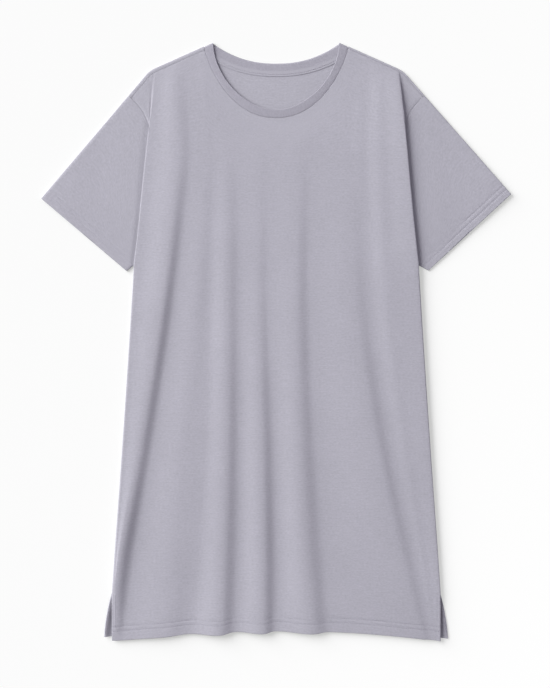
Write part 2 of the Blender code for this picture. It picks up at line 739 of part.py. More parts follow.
def add_grid(mesh, rows, closed=False, flip=False):
    """Adds rows of points, joined by quads; closed joins the ends of each row."""
    columns = len(rows[0])
    verts = [[mesh.verts.new([value * MM for value in point]) for point in row] for row in rows]
    for low, high in zip(verts, verts[1:]):
        for column in range(columns if closed else columns - 1):
            after = (column + 1) % columns
            face = [low[column], low[after], high[after], high[column]]
            mesh.faces.new(face[::-1] if flip else face)


def grid(rows, closed=False):
    mesh = bmesh.new()
    add_grid(mesh, rows, closed)
    return mesh


def piece(name, mesh, material):
    data = bpy.data.meshes.new(name)
    mesh.to_mesh(data)
    mesh.free()
    data.shade_smooth()
    data.materials.append(MATERIALS[material])
    obj = bpy.data.objects.new(name, data)
    DRESS.objects.link(obj)
    return obj


def cloth(name, mesh, thickness, material):
    """A sheet through the middle of the cloth, thickened to both sides."""
    bmesh.ops.recalc_face_normals(mesh, faces=mesh.faces)
    obj = piece(name, mesh, material)
    wall = obj.modifiers.new("wall", "SOLIDIFY")
    wall.thickness = thickness * MM
    wall.offset = 0.0
    wall.use_even_offset = True
    return obj


def make_material(name, colour):
    material = bpy.data.materials.new(name)
    material.use_nodes = True
    shader = material.node_tree.nodes["Principled BSDF"]
    shader.inputs["Base Color"].default_value = colour
    shader.inputs["Roughness"].default_value = 0.9
    shader.inputs["Metallic"].default_value = 0.0
    return material


for old in list(bpy.data.objects):
    bpy.data.objects.remove(old)

DRESS = bpy.data.collections.new("tshirt_dress")
bpy.context.scene.collection.children.link(DRESS)
MATERIALS = {name: make_material(name, colour) for name, colour in COLOURS.items()}

make_back()
make_sleeve(LEFT)
make_sleeve(RIGHT)
make_front()
make_neckband()
make_neck_tape()
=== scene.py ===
"""Looks of a short-sleeved t-shirt dress in cotton jersey, laid out flat and face up.

Each cloth piece is a thin shell on the form of its solid: the front with its soft folds, the back,
the two sleeves, the ribbed neckband and the tape over the back neck seam. Hems are turned in, and
Geometry Nodes sew them. X runs to the wearer's left, Y up to the neck and Z up. The garment's own
sizes are in millimetres, and the settings in metres.
"""

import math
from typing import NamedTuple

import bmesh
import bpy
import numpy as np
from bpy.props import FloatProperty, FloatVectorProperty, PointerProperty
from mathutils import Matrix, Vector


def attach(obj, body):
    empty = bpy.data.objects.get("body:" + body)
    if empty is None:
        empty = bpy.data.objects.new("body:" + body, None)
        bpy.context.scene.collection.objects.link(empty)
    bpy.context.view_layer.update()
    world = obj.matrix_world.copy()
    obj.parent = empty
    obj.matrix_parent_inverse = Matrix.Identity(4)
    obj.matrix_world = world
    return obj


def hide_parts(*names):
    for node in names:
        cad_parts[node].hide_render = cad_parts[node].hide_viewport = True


bl_info = {
    "name": "T-shirt dress, laid flat",
    "version": (1, 0, 0),
    "blender": (4, 5, 0),
    "location": "View3D > Sidebar > Dress",
    "description": "Builds a jersey t-shirt dress laid out flat, with its folds, hems and stitching",
    "category": "Add Mesh",
}

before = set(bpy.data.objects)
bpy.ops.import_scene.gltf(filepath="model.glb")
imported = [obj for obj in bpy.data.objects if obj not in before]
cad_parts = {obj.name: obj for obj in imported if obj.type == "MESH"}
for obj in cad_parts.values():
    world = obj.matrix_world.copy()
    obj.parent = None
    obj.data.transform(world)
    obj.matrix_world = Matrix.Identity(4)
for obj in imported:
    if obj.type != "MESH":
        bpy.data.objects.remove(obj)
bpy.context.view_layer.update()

MM = 0.001

# ---------------------------------------------------------------- the garment's sizes, in millimetres

# Shoulder and sleeve fold, seen from above
NECK_POINT = (116.0, 472.0)         # where the shoulder fold meets the neckband
SHOULDER_CORNER = (202.5, 433.3)    # where it turns down into the sleeve
CORNER_ROUNDING = 10.0
ARMHOLE_START = 147.0               # along the fold from the neck: the armhole seam crosses it

# Body
UNDERARM = (227.4, 122.0)
SLIT_TOP = (262.5, -394.0)
SIDE_FLARE = 0.060                  # half width gained for each mm down the side, at the underarm
HEM_Y = -463.5                      # middle of the hem
HEM_CORNER_DROPS = (18.8, 15.9)     # how far the front's hem falls to its right and left corners
HEM_CORNER_RISE = 3.0               # how far its right corner turns up again, over HEM_CORNER_WIDTH
HEM_CORNER_WIDTH = 37.0
BACK_HEM_Y = -461.0
BACK_HEM_CORNER_DROPS = (9.7, 12.3)     # how far the back's hem falls to its own
HEM_CURVE = 2.2                     # how late both fall, from the middle out
BACK_FLARE_CURVE = 1.9              # how soon the back's slit edge swings out below the slit's top
BACK_INSET = 0.4                    # how far the back lies inside the side line
CHEST_Y = 300.0                     # above this line the sections bend round the neckline

# Neck: a seam and a folded edge, each a superellipse in front and a shallow curve behind
NECK_HALF_WIDTH = 114.6
NECK_AXIS_Y = 469.6                 # where the band starts to turn over the shoulder
NECK_DEPTH = 111.7
NECK_POWERS = (2.2, 1.3)            # across and down: it falls in soon from the shoulder
BACK_NECK_DEPTH = 35.2
BAND_HALF_WIDTH = 100.6
BAND_AXIS_Y = 476.0
BAND_DEPTH = 106.0
BAND_POWERS = (1.8, 1.8)
BACK_BAND_DEPTH = 31.4
BACK_NECK_POWER = 2.25
TAPE_WIDTH = 10.0
TAPE_THICKNESS = 0.7
TAPE_REACH = 0.9                    # share of the back neck seam that the tape covers
TAPE_GAP = 0.1                      # from the back neck seam to the tape
TAPE_ROWS = (1.0, 6.7)              # its stitched rows, down from its upper edge
TAPE_STEP = 0.14                    # how much lower it lies beyond its lower row
TAPE_STEP_WIDTH = 1.2

# Gaps between pieces
SEAM_GAP = 0.5
ARMHOLE_GAP = 0.5
CORNER_GAP = 0.3                    # beside the neckband where it turns over the shoulder

# Thickness of a solid layer and of the solid rib
WALL = 1.2
RIB = 1.8

# Heights above the floor, of the middle of each layer
BACK_Z = WALL / 2
SHOULDER_Z = 3.0
SLEEVE_PRESSED_Z = 2.0              # where the front lies on the sleeve
SLEEVE_FULLNESS = 1.6               # how much higher it stands further out
SLEEVE_FULL = (60.0, 150.0)         # beyond the fold: where that starts and is reached
FRONT_ON_BACK_Z = 2.0               # the front's side edge, on the back
FRONT_ON_SLEEVE_Z = 3.3             # the front's armhole edge, on the sleeve
BAND_FRONT_Z = 3.1
BAND_LIFT = 0.5                     # how much higher the front band's folded edge stands
BAND_BACK_Z = RIB / 2
TAPE_Z = 1.7

# How the layers turn, fold and sink
EDGE_CLIMB = (96.0, 118.0)          # between these Y the front's edge climbs on to the sleeve
ROUNDING_START = 30.0               # from here up to the underarm it rounds down ever wider
SHOULDER_ROLL = 0.55                # how far a flattened fold bulges out
SHOULDER_REACH = SHOULDER_ROLL + WALL / 2
FOLD_SHOULDER = 70.0                # width beside an armhole fold over which the yoke stays high
FOLD_HOLD = 4.0                     # how long it does, going up
SIDE_TURN_UNDER = 4.6
TURN_UNDER_FADE = 4.0               # how soon the turned-under strip narrows below the crossing
YOKE_SETTLING = 3.0                 # how soon the yoke settles beyond the fold above the crossing
SEAM_DIP = 0.15                     # how far the cloth sinks into a seam, over SEAM_DIP_WIDTH
SEAM_DIP_WIDTH = 1.6
SEAM_DIP_HALFWAY = 0.25             # share of it that is reached halfway
MOST_SUNK = 0.8                     # share of the way to the row before that it takes at most
OPENING_TOP_Y = -386.0              # below this the side edge opens out flat, over SLIT_OPENING
SLIT_OPENING = 24.0
HEM_FADE = 150.0                    # height over which the hem's own curve straightens
HEM_WAVE = 0.95                     # how far a fold pushes the hem down, for each mm that it stands
HEM_LEVEL = 7.0                     # above this height

# Hems, turned in once, and what is sewn
HEM_DEPTH = 25.0
HEM_ROOM = 0.8                      # share of a sleeve's length that its hem takes at most
HEM_LAYER_DROP = 0.3                # the turned-in layer's reference surface, below the outer one's
HEM_TURN = 0.75                     # the turn stands out this much, so the layer ends short by it
HEM_TURN_ROWS = (                   # how far back the turn's rows lie, and their share of the drop
    (-0.10, 0.15), (-0.15, 0.50), (-0.10, 0.85), (0.30, 1.0), (1.5, 1.0),
)
SLIT_TURN_IN = 10.0
SLIT_LIP_REACH = (0.0, 0.8, 2.2, 9.0)       # in from the back's slit edge, where its curl turns
SLIT_LIP_SHARES = (0.75, 1.0, 1.0, 0.0)     # shares of the curl at those places
HEM_ROWS_UP = (15.0, 22.0)          # the twin-needle rows above the body's hem
CUFF_ROWS_UP = (11.0, 18.5)         # and above a sleeve's
SLIT_ROW_IN = 6.0                   # the row beside a slit
SLIT_ROW_END = 3.0                  # how far it ends below the slit's top
SLIT_EDGE_ROW = 1.2                 # the overlock's outer row, in from the back's slit edge
OVERLOCK_ENDS = (14.0, 6.0)         # above the back's corner and below the slit's top
BACK_ROW_END = 1.0                  # the back's rows end this far inside its slit edges
GROOVE_WIDTH = 1.3                  # a stitched row pulls the cloth in over this width
GROOVE_DEPTH = 0.3

# How high a thread's middle lies: shares of its thickness above a groove and above plain cloth, and
# its height above the tape's own middle
GROOVE_SEAT = 0.4
OVERLOCK_SEAT = 0.2
TAPE_THREAD_LIFT = 0.35


class Side(NamedTuple):
    """What differs between the two sides of the dress as it lies, for a positive X."""

    name: str
    sign: int
    cuff_top: tuple
    cuff_low: tuple
    seam_inset: float   # how far the shoulder seam lies inside the shoulder fold
    fold_start: float   # along the shoulder fold from the neck: the front's armhole fold starts
    fold_line: tuple    # Y and X along that fold, from the underarm up
    back_corner: tuple  # the back's hem corner
    rounding: tuple     # widths over which the front rounds down, below the underarm and above
    slit_lip: float     # how far the back's slit edge curls up
    yoke_dip: float     # how far the yoke dips right beside the armhole fold
    yoke_share: float   # of the panel's height there that the yoke keeps beyond the fold
    sleeve_z: float     # height to which the sleeve rises again beyond the fold
    sleeve_rise: float  # width over which it does


LEFT = Side(
    name="sleeve_left",
    sign=1,
    cuff_top=(375.7, 236.0),
    cuff_low=(243.5, 113.8),
    seam_inset=3.6,
    fold_start=90.5,
    fold_line=(
        (122.0, 227.4), (153.0, 224.0), (230.0, 216.1), (307.0, 209.1), (371.0, 203.4),
        (409.0, 200.3), (434.0, 198.6),
    ),
    back_corner=(275.3, -471.8),
    rounding=(0.5, 0.5),
    slit_lip=0.8,
    yoke_dip=0.25,
    yoke_share=0.0,
    sleeve_z=2.8,
    sleeve_rise=50.0,
)
RIGHT = Side(
    name="sleeve_right",
    sign=-1,
    cuff_top=(375.7, 229.0),
    cuff_low=(239.0, 113.0),
    seam_inset=6.0,
    fold_start=89.5,
    fold_line=(
        (122.0, 227.4), (156.0, 223.0), (233.0, 215.0), (297.0, 208.4), (348.0, 202.2),
        (374.0, 197.7), (400.0, 195.3), (434.0, 197.2),
    ),
    back_corner=(275.2, -470.3),
    rounding=(3.0, 9.0),
    slit_lip=4.4,
    yoke_dip=0.8,
    yoke_share=1.5,
    sleeve_z=2.95,
    sleeve_rise=8.0,
)
SIDES = (RIGHT, LEFT)


class Armhole(NamedTuple):
    """An armhole seam: how far in it runs, and its bend towards the underarm."""

    x: float
    y: float
    bend: float


FRONT_ARMHOLE = Armhole(195.0, 250.0, 2.2)
BACK_ARMHOLE = Armhole(206.0, 240.0, 2.2)


class Crease(NamedTuple):
    """A line down the front at which its slope turns: X and Z where it crosses CREASE_HEIGHTS."""

    name: str
    x: tuple
    z: tuple
    power: float    # how sharp its side is towards the wearer's left


CREASE_HEIGHTS = (300.0, 60.0, -180.0, -380.0, -466.0)
CREASES = (
    Crease("right side ridge", (-157, -184, -222, -257, -265), (6.3, 7.2, 7.0, 7.7, 5.0), 2.1),
    Crease("right side valley", (-131, -161, -197, -231, -242), (4.9, 2.9, 2.4, 2.5, 5.0), 1.5),
    Crease("right neck line", (-112, -128, -148, -170, -180), (4.7, 4.2, 4.9, 5.3, 7.5), 1.9),
    Crease("dip", (-98, -107, -114, -128, -138), (4.6, 3.6, 4.8, 4.2, 5.5), 1.5),
    Crease("first ridge", (-80, -81, -83, -89, -93), (4.7, 5.7, 7.4, 8.0, 10.6), 2.1),
    Crease("first valley", (-58, -56, -56, -59, -62), (4.6, 3.9, 4.0, 3.6, 6.0), 1.5),
    Crease("second ridge", (-29, -30, -26, -24, -24), (4.7, 5.0, 6.8, 7.5, 10.0), 2.2),
    Crease("second valley", (-10, -10, 0, 4, 2), (4.6, 4.1, 3.4, 2.9, 5.7), 1.5),
    Crease("third ridge", (32, 30, 35, 46, 54), (4.8, 5.5, 6.6, 7.1, 9.8), 2.1),
    Crease("third valley", (58, 56, 69, 84, 90), (4.6, 3.4, 3.1, 3.0, 5.6), 1.5),
    Crease("left neck line", (112, 124, 160, 207, 232), (4.8, 5.6, 7.0, 6.3, 6.4), 2.1),
    Crease("left side valley", (138, 150, 188, 231, 250), (5.2, 4.5, 4.5, 4.8, 5.5), 1.7),
    Crease("left side ridge", (171, 182, 212, 243, 256), (7.2, 6.7, 5.6, 5.3, 5.6), 1.5),
)
SIDE_POWER = 1.5                    # how sharp the front's own side is, up to the first crease
LEAST_COLUMN = 2.0                  # a crease stays this far inside the side's rounding
CREASE_STEPS = 8
SIDE_SHARES = (0.14, 0.29, 0.43, 0.57, 0.71, 0.85, 0.97, 1.0)   # closer together at the side
NECK_COLUMNS = CREASE_STEPS * 8     # the eight spans between the neck lines end at the neckline
SHOULDER_COLUMNS = CREASE_STEPS * 3     # and the three beyond each of them at a shoulder seam


class SideHeight(NamedTuple):
    """Heights of the front where it starts to round down at its two sides."""

    y: float
    right: float
    left: float


SIDE_HEIGHTS = (
    SideHeight(-466.0, 5.0, 6.0),
    SideHeight(-410.0, 6.5, 6.0),
    SideHeight(-380.0, 7.4, 6.2),
    SideHeight(-180.0, 5.0, 6.6),
    SideHeight(90.0, 4.0, 7.2),
    SideHeight(150.0, 3.8, 9.2),
    SideHeight(300.0, 3.8, 9.4),
)


class Turn(NamedTuple):
    """A column of the front's turned-under edge, placed by shares of three distances."""

    inward: float       # from the fold back to the flat of the panel
    to_seam: float      # from the fold to the seam
    drop: float         # from the panel down to the lower layer
    dip: float          # of the yoke's dip beside the fold


TURNS = (
    Turn(0.64, 0.00, 0.04, 0.0),
    Turn(0.34, 0.00, 0.11, 0.0),
    Turn(0.12, 0.00, 0.20, 0.1),
    Turn(0.00, 0.00, 0.38, 0.5),
    Turn(0.00, 0.08, 0.88, 1.0),
    Turn(0.00, 0.26, 0.99, 0.35),
    Turn(0.00, 0.58, 1.00, 0.0),
    Turn(0.00, 0.965, 1.00, 0.0),
    Turn(0.00, 1.00, 1.00, 0.0),
)
FOLD_TURN = 3                       # the turn at the fold's own outermost line

# How finely curves are drawn
SHOULDER_FOLD_STEPS = (20, 10, 40)  # to the shoulder's corner, round it, and on to the cuff
FOLD_LINE_STEPS = 12
CREASE_LINE_STEPS = 24
ARMHOLE_POINTS = 160
CROSSING_TRIES = 400
LEAST_STRETCH = 1e-6                # keeps a curve through doubled points sound
NECK_STEPS = 180
BACK_NECK_STEPS = 120

# How finely the pieces are woven
ROW_STEPS = 3                       # steps along a row from one turn to the next
EDGE_COLUMNS = len(TURNS) * ROW_STEPS
ROW_SPACING = 4.6                   # between the rows of the body
HEM_ROW_SPACING = 1.25
HEM_ZONE = HEM_DEPTH + 5.0          # the height over which they lie that close
UNDERARM_STEP = 0.01                # the first row above the underarm
YOKE_ROWS = 36
BACK_EDGE_COLUMNS = (0.0, 0.8, 1.5, 2.2, 4.5, 7.0, 9.5)     # in from the back's side edges
BACK_EDGE_ROW = 0.6                 # the row next to the back's hem
BACK_ROWS = (20, 24)                # from the underarm to the chest line, and above it
BACK_NECK_COLUMNS = 54
SLEEVE_COLUMNS = 30                 # along an armhole seam, on each side of the chest line
SLEEVE_ROWS = 26                    # in the sleeve's main part, and again at its cuff
SLEEVE_SEAM_SHARE = 0.03            # of its length: the first row beyond the seam's dip
SLEEVE_MAIN_SHARE = 0.85            # of its length: where the cuff's closer rows start
CUFF_RUN = 12                       # rows in from the cuff that give the direction back from it
ROLL_STEPS = 10
BAND_STATIONS = 120
TAPE_STATIONS = 90
TAPE_STRIPS = 32                    # across its width
BACK_HEM_STITCH_POINTS = 120
SLIT_STITCH_POINTS = 24
ZIGZAG_TURNS = 3                    # of the overlock, to a stitch of its rows
THREAD_SIDES = 6
BEAD_RINGS = 5                      # of the stretched bead that makes a stitch
MERGE_DISTANCE = 0.02
CRISP_ANGLE = 80.0                  # degrees: sharper edges aren't shaded smooth

# Knit and yarn
KNIT_SLANT = 1.6                    # courses that a stitch's leg climbs for each wale across
KNIT_RELIEF = 0.25                  # half the drop between its courses, of a stitch's own height
YARN_NOISE = (                      # how fine it is across and along the cloth, and its weight
    ((260.0, 480.0, 1.0), 1.0),     # mottling
    ((55.0, 420.0, 1.0), 0.55),     # streaks along the courses
    ((9.0, 14.0, 1.0), 0.25),       # broad cloudiness
)

# The studio, in metres
FLOOR_REACH = 6.0                   # from its middle to its sides
FLOOR_DROP = 0.2 * MM               # it lies this far below the plane the garment lies on
STUDIO_HEIGHT = 2.6                 # from the floor to the camera
VIEW_HEIGHT = 1.1008                # of floor that it sees, from bottom to top
VIEW_CENTRE = (-0.0019, -0.0036)    # X and Y of the place right below it


# ---------------------------------------------------------------- settings

class DRESS_PG_cloth(bpy.types.PropertyGroup):
    """The cloth: its thickness, knit and colours."""

    thickness: FloatProperty(
        name="Jersey thickness", description="Thickness of one layer of jersey",
        default=0.7 * MM, min=0.3 * MM, max=1.1 * MM, unit="LENGTH",
    )
    rib_thickness: FloatProperty(
        name="Rib thickness", description="Thickness of one layer of the neckband's rib knit",
        default=0.78 * MM, min=0.3 * MM, max=0.9 * MM, unit="LENGTH",
    )
    wale_pitch: FloatProperty(
        name="Wale pitch", description="Width of one column of knit stitches",
        default=0.75 * MM, min=0.3 * MM, unit="LENGTH",
    )
    course_pitch: FloatProperty(
        name="Course pitch", description="Height of one row of knit stitches",
        default=0.6 * MM, min=0.3 * MM, unit="LENGTH",
    )
    rib_pitch: FloatProperty(
        name="Rib pitch", description="Width of one rib of the neckband",
        default=1.9 * MM, min=0.8 * MM, unit="LENGTH",
    )
    jersey_colour: FloatVectorProperty(
        name="Jersey colour", description="Colour of the jersey in even light",
        default=(0.414, 0.409, 0.453), subtype="COLOR", min=0.0, max=1.0,
    )
    rib_colour: FloatVectorProperty(
        name="Rib colour", description="Colour of the neckband",
        default=(0.371, 0.363, 0.409), subtype="COLOR", min=0.0, max=1.0,
    )
    # The thread is darker than the jersey: partly its own tone, partly painted shade that darkens the
    # overlocked slit flaps as if they lay in shade.
    thread_and_shade_colour: FloatVectorProperty(
        name="Thread colour", description="Colour of the sewing thread",
        default=(0.290, 0.278, 0.330), subtype="COLOR", min=0.0, max=1.0,
    )


class DRESS_PG_stitching(bpy.types.PropertyGroup):
    """The sewing thread and its stitches."""

    pitch: FloatProperty(
        name="Stitch pitch", description="Distance from one stitch to the next",
        default=3.0 * MM, min=1.0 * MM, unit="LENGTH",
    )
    length: FloatProperty(
        name="Stitch length", description="Length of thread that shows at each stitch",
        default=2.3 * MM, min=0.5 * MM, unit="LENGTH",
    )
    thread: FloatProperty(
        name="Thread thickness", description="Thickness of the sewing thread",
        default=0.42 * MM, min=0.1 * MM, unit="LENGTH",
    )
    overlock_width: FloatProperty(
        name="Overlock width", description="Width of the overlocked edge inside a slit",
        default=6.0 * MM, min=2.0 * MM, unit="LENGTH",
    )


class DRESS_PG_studio(bpy.types.PropertyGroup):
    """The floor and the lights."""

    key_strength: FloatProperty(
        name="Key strength", description="Strength of the key light, from the upper left",
        default=4.73, min=0.0,
    )
    key_height: FloatProperty(
        name="Key height", description="Angle of the key light above the floor",
        default=math.radians(27.0), min=0.0, max=math.pi / 2, subtype="ANGLE",
    )
    key_bearing: FloatProperty(
        name="Key bearing", description="Direction that the key light comes from, round from +X",
        default=math.radians(149.0), subtype="ANGLE",
    )
    key_softness: FloatProperty(
        name="Key softness", description="How wide the key light looks from the floor",
        default=math.radians(50.0), min=0.0, subtype="ANGLE",
    )
    key_distance: FloatProperty(
        name="Key distance", description="Distance of the key light from the garment",
        default=8.5, min=1.0, unit="LENGTH",
    )
    sky_strength: FloatProperty(
        name="Fill strength", description="Strength of the even light from all round",
        default=0.36, min=0.0,
    )
    sky_colour: FloatVectorProperty(
        name="Fill colour", description="Colour of the even light from all round",
        default=(1.0, 0.95, 1.08), subtype="COLOR", min=0.0, max=1.5,
    )
    floor_colour: FloatVectorProperty(
        name="Floor colour", description="Colour of the floor",
        default=(0.60, 0.60, 0.60), subtype="COLOR", min=0.0, max=1.0,
    )
    floor_tone: FloatProperty(
        name="Floor tone", description="Brightness of the lit floor, which glows as a light table",
        default=0.975, min=0.0,
    )


# ---------------------------------------------------------------- curves

def ease(share):
    """Goes from 0 to 1 with level ends."""
    share = min(max(share, 0.0), 1.0)
    return share * share * (3.0 - 2.0 * share)


def steepened(share, power):
    """Goes from 0 to 1 with level ends, the steeper at its middle the greater the power."""
    return share**power / (share**power + (1.0 - share) ** power)


def mix(start, end, share):
    """The value at a share of the way from start to end."""
    return start + (end - start) * share


def mix_points(start, end, share):
    """The point at a share of the way from start to end."""
    return tuple(mix(a, b, share) for a, b in zip(start, end))


class Line:
    """A curve in plan that can be read at any distance along it, and to the right of it."""

    def __init__(self, points):
        self.points = np.array(points, dtype=float)
        steps = np.linalg.norm(np.diff(self.points, axis=0), axis=1)
        self.distances = np.concatenate(([0.0], np.cumsum(steps)))
        self.length = self.distances[-1]
        along = np.gradient(self.points, self.distances, axis=0)
        along /= np.linalg.norm(along, axis=1)[:, None]
        self.rights = np.stack((along[:, 1], -along[:, 0]), axis=1)

    def at(self, distance, right=0.0):
        """The point at a distance along the curve, moved to its right."""
        x, y = (np.interp(distance, self.distances, self.points[:, axis]) for axis in (0, 1))
        rights = [np.interp(distance, self.distances, self.rights[:, axis]) for axis in (0, 1)]
        return (x + rights[0] * right, y + rights[1] * right)

    def spaced(self, count, right=0.0):
        """Points at even steps along the curve, moved to its right."""
        return [self.at(self.length * step / count, right) for step in range(count + 1)]


def smooth(points, steps):
    """A finer row: a smooth curve through the given points, with steps to each stretch."""
    points = np.asarray(points, dtype=float)
    lengths = np.maximum(np.linalg.norm(np.diff(points, axis=0), axis=1), LEAST_STRETCH)
    slopes = np.gradient(points, np.concatenate(([0.0], np.cumsum(lengths))), axis=0)
    share = (np.arange(steps) / steps)[None, :, None]
    span = lengths[:, None, None]
    curve = (
        (2 * share**3 - 3 * share**2 + 1) * points[:-1, None]
        + (share**3 - 2 * share**2 + share) * slopes[:-1, None] * span
        + (3 * share**2 - 2 * share**3) * points[1:, None]
        + (share**3 - share**2) * slopes[1:, None] * span
    )
    return np.concatenate((curve.reshape(-1, points.shape[1]), points[-1:]))


def shoulder_fold(side):
    """The fold along the top: from the neck over the rounded shoulder to the cuff."""
    neck, corner, cuff = (np.array(p) for p in (NECK_POINT, SHOULDER_CORNER, side.cuff_top))
    start = corner + (neck - corner) / np.linalg.norm(neck - corner) * CORNER_ROUNDING
    end = corner + (cuff - corner) / np.linalg.norm(cuff - corner) * CORNER_ROUNDING
    before, rounded, after = SHOULDER_FOLD_STEPS
    points = [mix(neck, start, step / before) for step in range(before)]
    for step in range(rounded + 1):
        share = step / rounded
        points.append((1 - share) ** 2 * start + 2 * share * (1 - share) * corner + share**2 * end)
    points += [mix(end, cuff, step / after) for step in range(1, after + 1)]
    return Line(points)


SHOULDER_FOLDS = {side: shoulder_fold(side) for side in SIDES}
FOLD_LINES = {side: smooth(side.fold_line, FOLD_LINE_STEPS) for side in SIDES}


def side_half_width(y):
    """Half width of the body at its side seam."""
    below = UNDERARM[1] - y
    to_slit = UNDERARM[1] - SLIT_TOP[1]
    short = SLIT_TOP[0] - UNDERARM[0] - SIDE_FLARE * to_slit
    return min(UNDERARM[0] + SIDE_FLARE * below + short * (below / to_slit) ** 2, SLIT_TOP[0])


def fold_half_width(side, y):
    """Half width of the front at its armhole fold, from the underarm to the shoulder."""
    return float(np.interp(y, FOLD_LINES[side][:, 0], FOLD_LINES[side][:, 1]))


def armhole_x(side, armhole, y):
    """X of an armhole seam, which meets the shoulder fold squarely."""
    if y <= armhole.y:
        share = (armhole.y - y) / (armhole.y - UNDERARM[1])
        return mix(armhole.x, UNDERARM[0], max(share, 0.0) ** armhole.bend)
    fold = SHOULDER_FOLDS[side]
    top_x, top_y = fold.at(ARMHOLE_START)
    inner_x, inner_y = fold.at(ARMHOLE_START, 1.0)
    slope = (top_x - inner_x) / (top_y - inner_y)
    rise, run = top_y - armhole.y, top_x - armhole.x
    return armhole.x + run * ((y - armhole.y) / rise) ** (slope * rise / run)


def crossing_y(side):
    """Height at which the front's armhole seam comes out from under its fold."""
    heights = np.linspace(CHEST_Y, SHOULDER_CORNER[1], CROSSING_TRIES)
    under = [fold_half_width(side, y) - armhole_x(side, FRONT_ARMHOLE, y) for y in heights]
    return heights[next(index for index, distance in enumerate(under) if distance <= 0.0)]


CROSSINGS = {side: crossing_y(side) for side in SIDES}


def armhole_seam(side, armhole, depth, clearance, low_rows, high_rows):
    """Points up an armhole seam to a depth inside the shoulder fold.

    low_rows of them reach the chest line. Half of the high_rows above it reach the place where the
    front's seam crosses its fold.
    """
    top = SHOULDER_FOLDS[side].at(ARMHOLE_START + clearance, depth)
    half = high_rows // 2
    heights = [mix(UNDERARM[1], CHEST_Y, step / low_rows) for step in range(low_rows)]
    heights += [mix(CHEST_Y, CROSSINGS[side], step / half) for step in range(half)]
    heights += [mix(CROSSINGS[side], top[1], step / half) for step in range(half + 1)]
    past_top = top[1] + 1.0
    fine = np.linspace(UNDERARM[1], past_top, ARMHOLE_POINTS)
    line = Line([(armhole_x(side, armhole, y), y) for y in fine])
    seam = [line.at(np.interp(y, fine, line.distances), clearance) for y in heights]
    return seam[:-1] + [top]


def neck_curve(half_width, depth, top_y, powers):
    """The front neckline in plan, from the wearer's right to the left."""
    points = []
    for step in range(NECK_STEPS + 1):
        angle = math.pi * step / NECK_STEPS
        across = abs(math.cos(angle)) ** (2 / powers[0])
        down = math.sin(angle) ** (2 / powers[1]) if step not in (0, NECK_STEPS) else 0.0
        points.append((-math.copysign(across, math.cos(angle)) * half_width, top_y - down * depth))
    return Line(points)


def back_neck_curve(half_width, depth, top_y, reach=1.0):
    """The back neckline in plan, from the wearer's right to the left."""
    points = []
    for step in range(BACK_NECK_STEPS + 1):
        share = -math.cos(math.pi * step / BACK_NECK_STEPS) * reach
        points.append((share * half_width, top_y - depth * (1.0 - abs(share) ** BACK_NECK_POWER)))
    return Line(points)


NECK_SEAM = neck_curve(NECK_HALF_WIDTH, NECK_DEPTH, NECK_AXIS_Y, NECK_POWERS)
BACK_NECK_SEAM = back_neck_curve(NECK_HALF_WIDTH, BACK_NECK_DEPTH, NECK_AXIS_Y)
TAPE_SEAM = back_neck_curve(NECK_HALF_WIDTH, BACK_NECK_DEPTH, NECK_AXIS_Y, TAPE_REACH)


def neck_end(side, depth):
    """Where a line inside the shoulder fold starts beside the neckband, along the fold."""
    fold = SHOULDER_FOLDS[side]
    first_x = fold.at(0.0, depth)[0]
    step_x = fold.at(1.0, depth)[0] - first_x
    return max(0.0, (NECK_HALF_WIDTH + CORNER_GAP - first_x) / step_x)


# ---------------------------------------------------------------- heights

CREASE_LINES = [
    smooth(list(zip(CREASE_HEIGHTS, crease.x, crease.z)), CREASE_LINE_STEPS)[::-1]
    for crease in CREASES
]


def side_height(side, y):
    """Height of the front where it starts to round down at its side."""
    heights = [row.right if side is RIGHT else row.left for row in SIDE_HEIGHTS]
    return float(np.interp(y, [row.y for row in SIDE_HEIGHTS], heights))


def rounding(side, y):
    """Width over which the front rounds down at its side."""
    below, above = side.rounding
    return mix(below, above, ease((y - ROUNDING_START) / (UNDERARM[1] - ROUNDING_START)))


def edge_height(y):
    """Height of the front's seam edge: on the back below the underarm, on the sleeve above it."""
    start, end = EDGE_CLIMB
    return mix(FRONT_ON_BACK_Z, FRONT_ON_SLEEVE_Z, ease((y - start) / (end - start)))


def sleeve_height(side, x, y):
    """Height of a sleeve's upper layer, pressed down where the front lies over it."""
    outside_fold = x - fold_half_width(side, y)
    start, end = SLEEVE_FULL
    fullness = SLEEVE_FULLNESS * ease((outside_fold - start) / (end - start))
    return mix(SLEEVE_PRESSED_Z, side.sleeve_z, ease(outside_fold / side.sleeve_rise)) + fullness


def groove(distance, rows_up):
    """How far stitched rows pull the cloth in, at a distance above the hem."""
    return sum(GROOVE_DEPTH * np.exp(-(((distance - row) / GROOVE_WIDTH) ** 2)) for row in rows_up)


# ---------------------------------------------------------------- front

def panel_section(y):
    """The front's section at a height up to the chest line, without its turned-under edges."""
    reach = {}
    for side in SIDES:
        half_width = fold_half_width(side, y) if y > UNDERARM[1] else side_half_width(y)
        reach[side] = half_width - rounding(side, y)
    lines = [(-reach[RIGHT], side_height(RIGHT, y))]
    for line in CREASE_LINES:
        x, z = (float(np.interp(y, line[:, 0], line[:, axis])) for axis in (1, 2))
        lines.append((min(max(x, LEAST_COLUMN - reach[RIGHT]), reach[LEFT] - LEAST_COLUMN), z))
    lines.append((reach[LEFT], side_height(LEFT, y)))
    even = [step / CREASE_STEPS for step in range(1, CREASE_STEPS + 1)]
    from_side = [1.0 - share for share in SIDE_SHARES[-2::-1]] + [1.0]
    spacings = [from_side, *[even] * (len(CREASES) - 1), SIDE_SHARES]
    powers = [SIDE_POWER, *(crease.power for crease in CREASES)]
    section = [lines[0]]
    for (x0, z0), (x1, z1), power, shares in zip(lines, lines[1:], powers, spacings):
        section += [(mix(x0, x1, share), mix(z0, z1, steepened(share, power))) for share in shares]
    return section


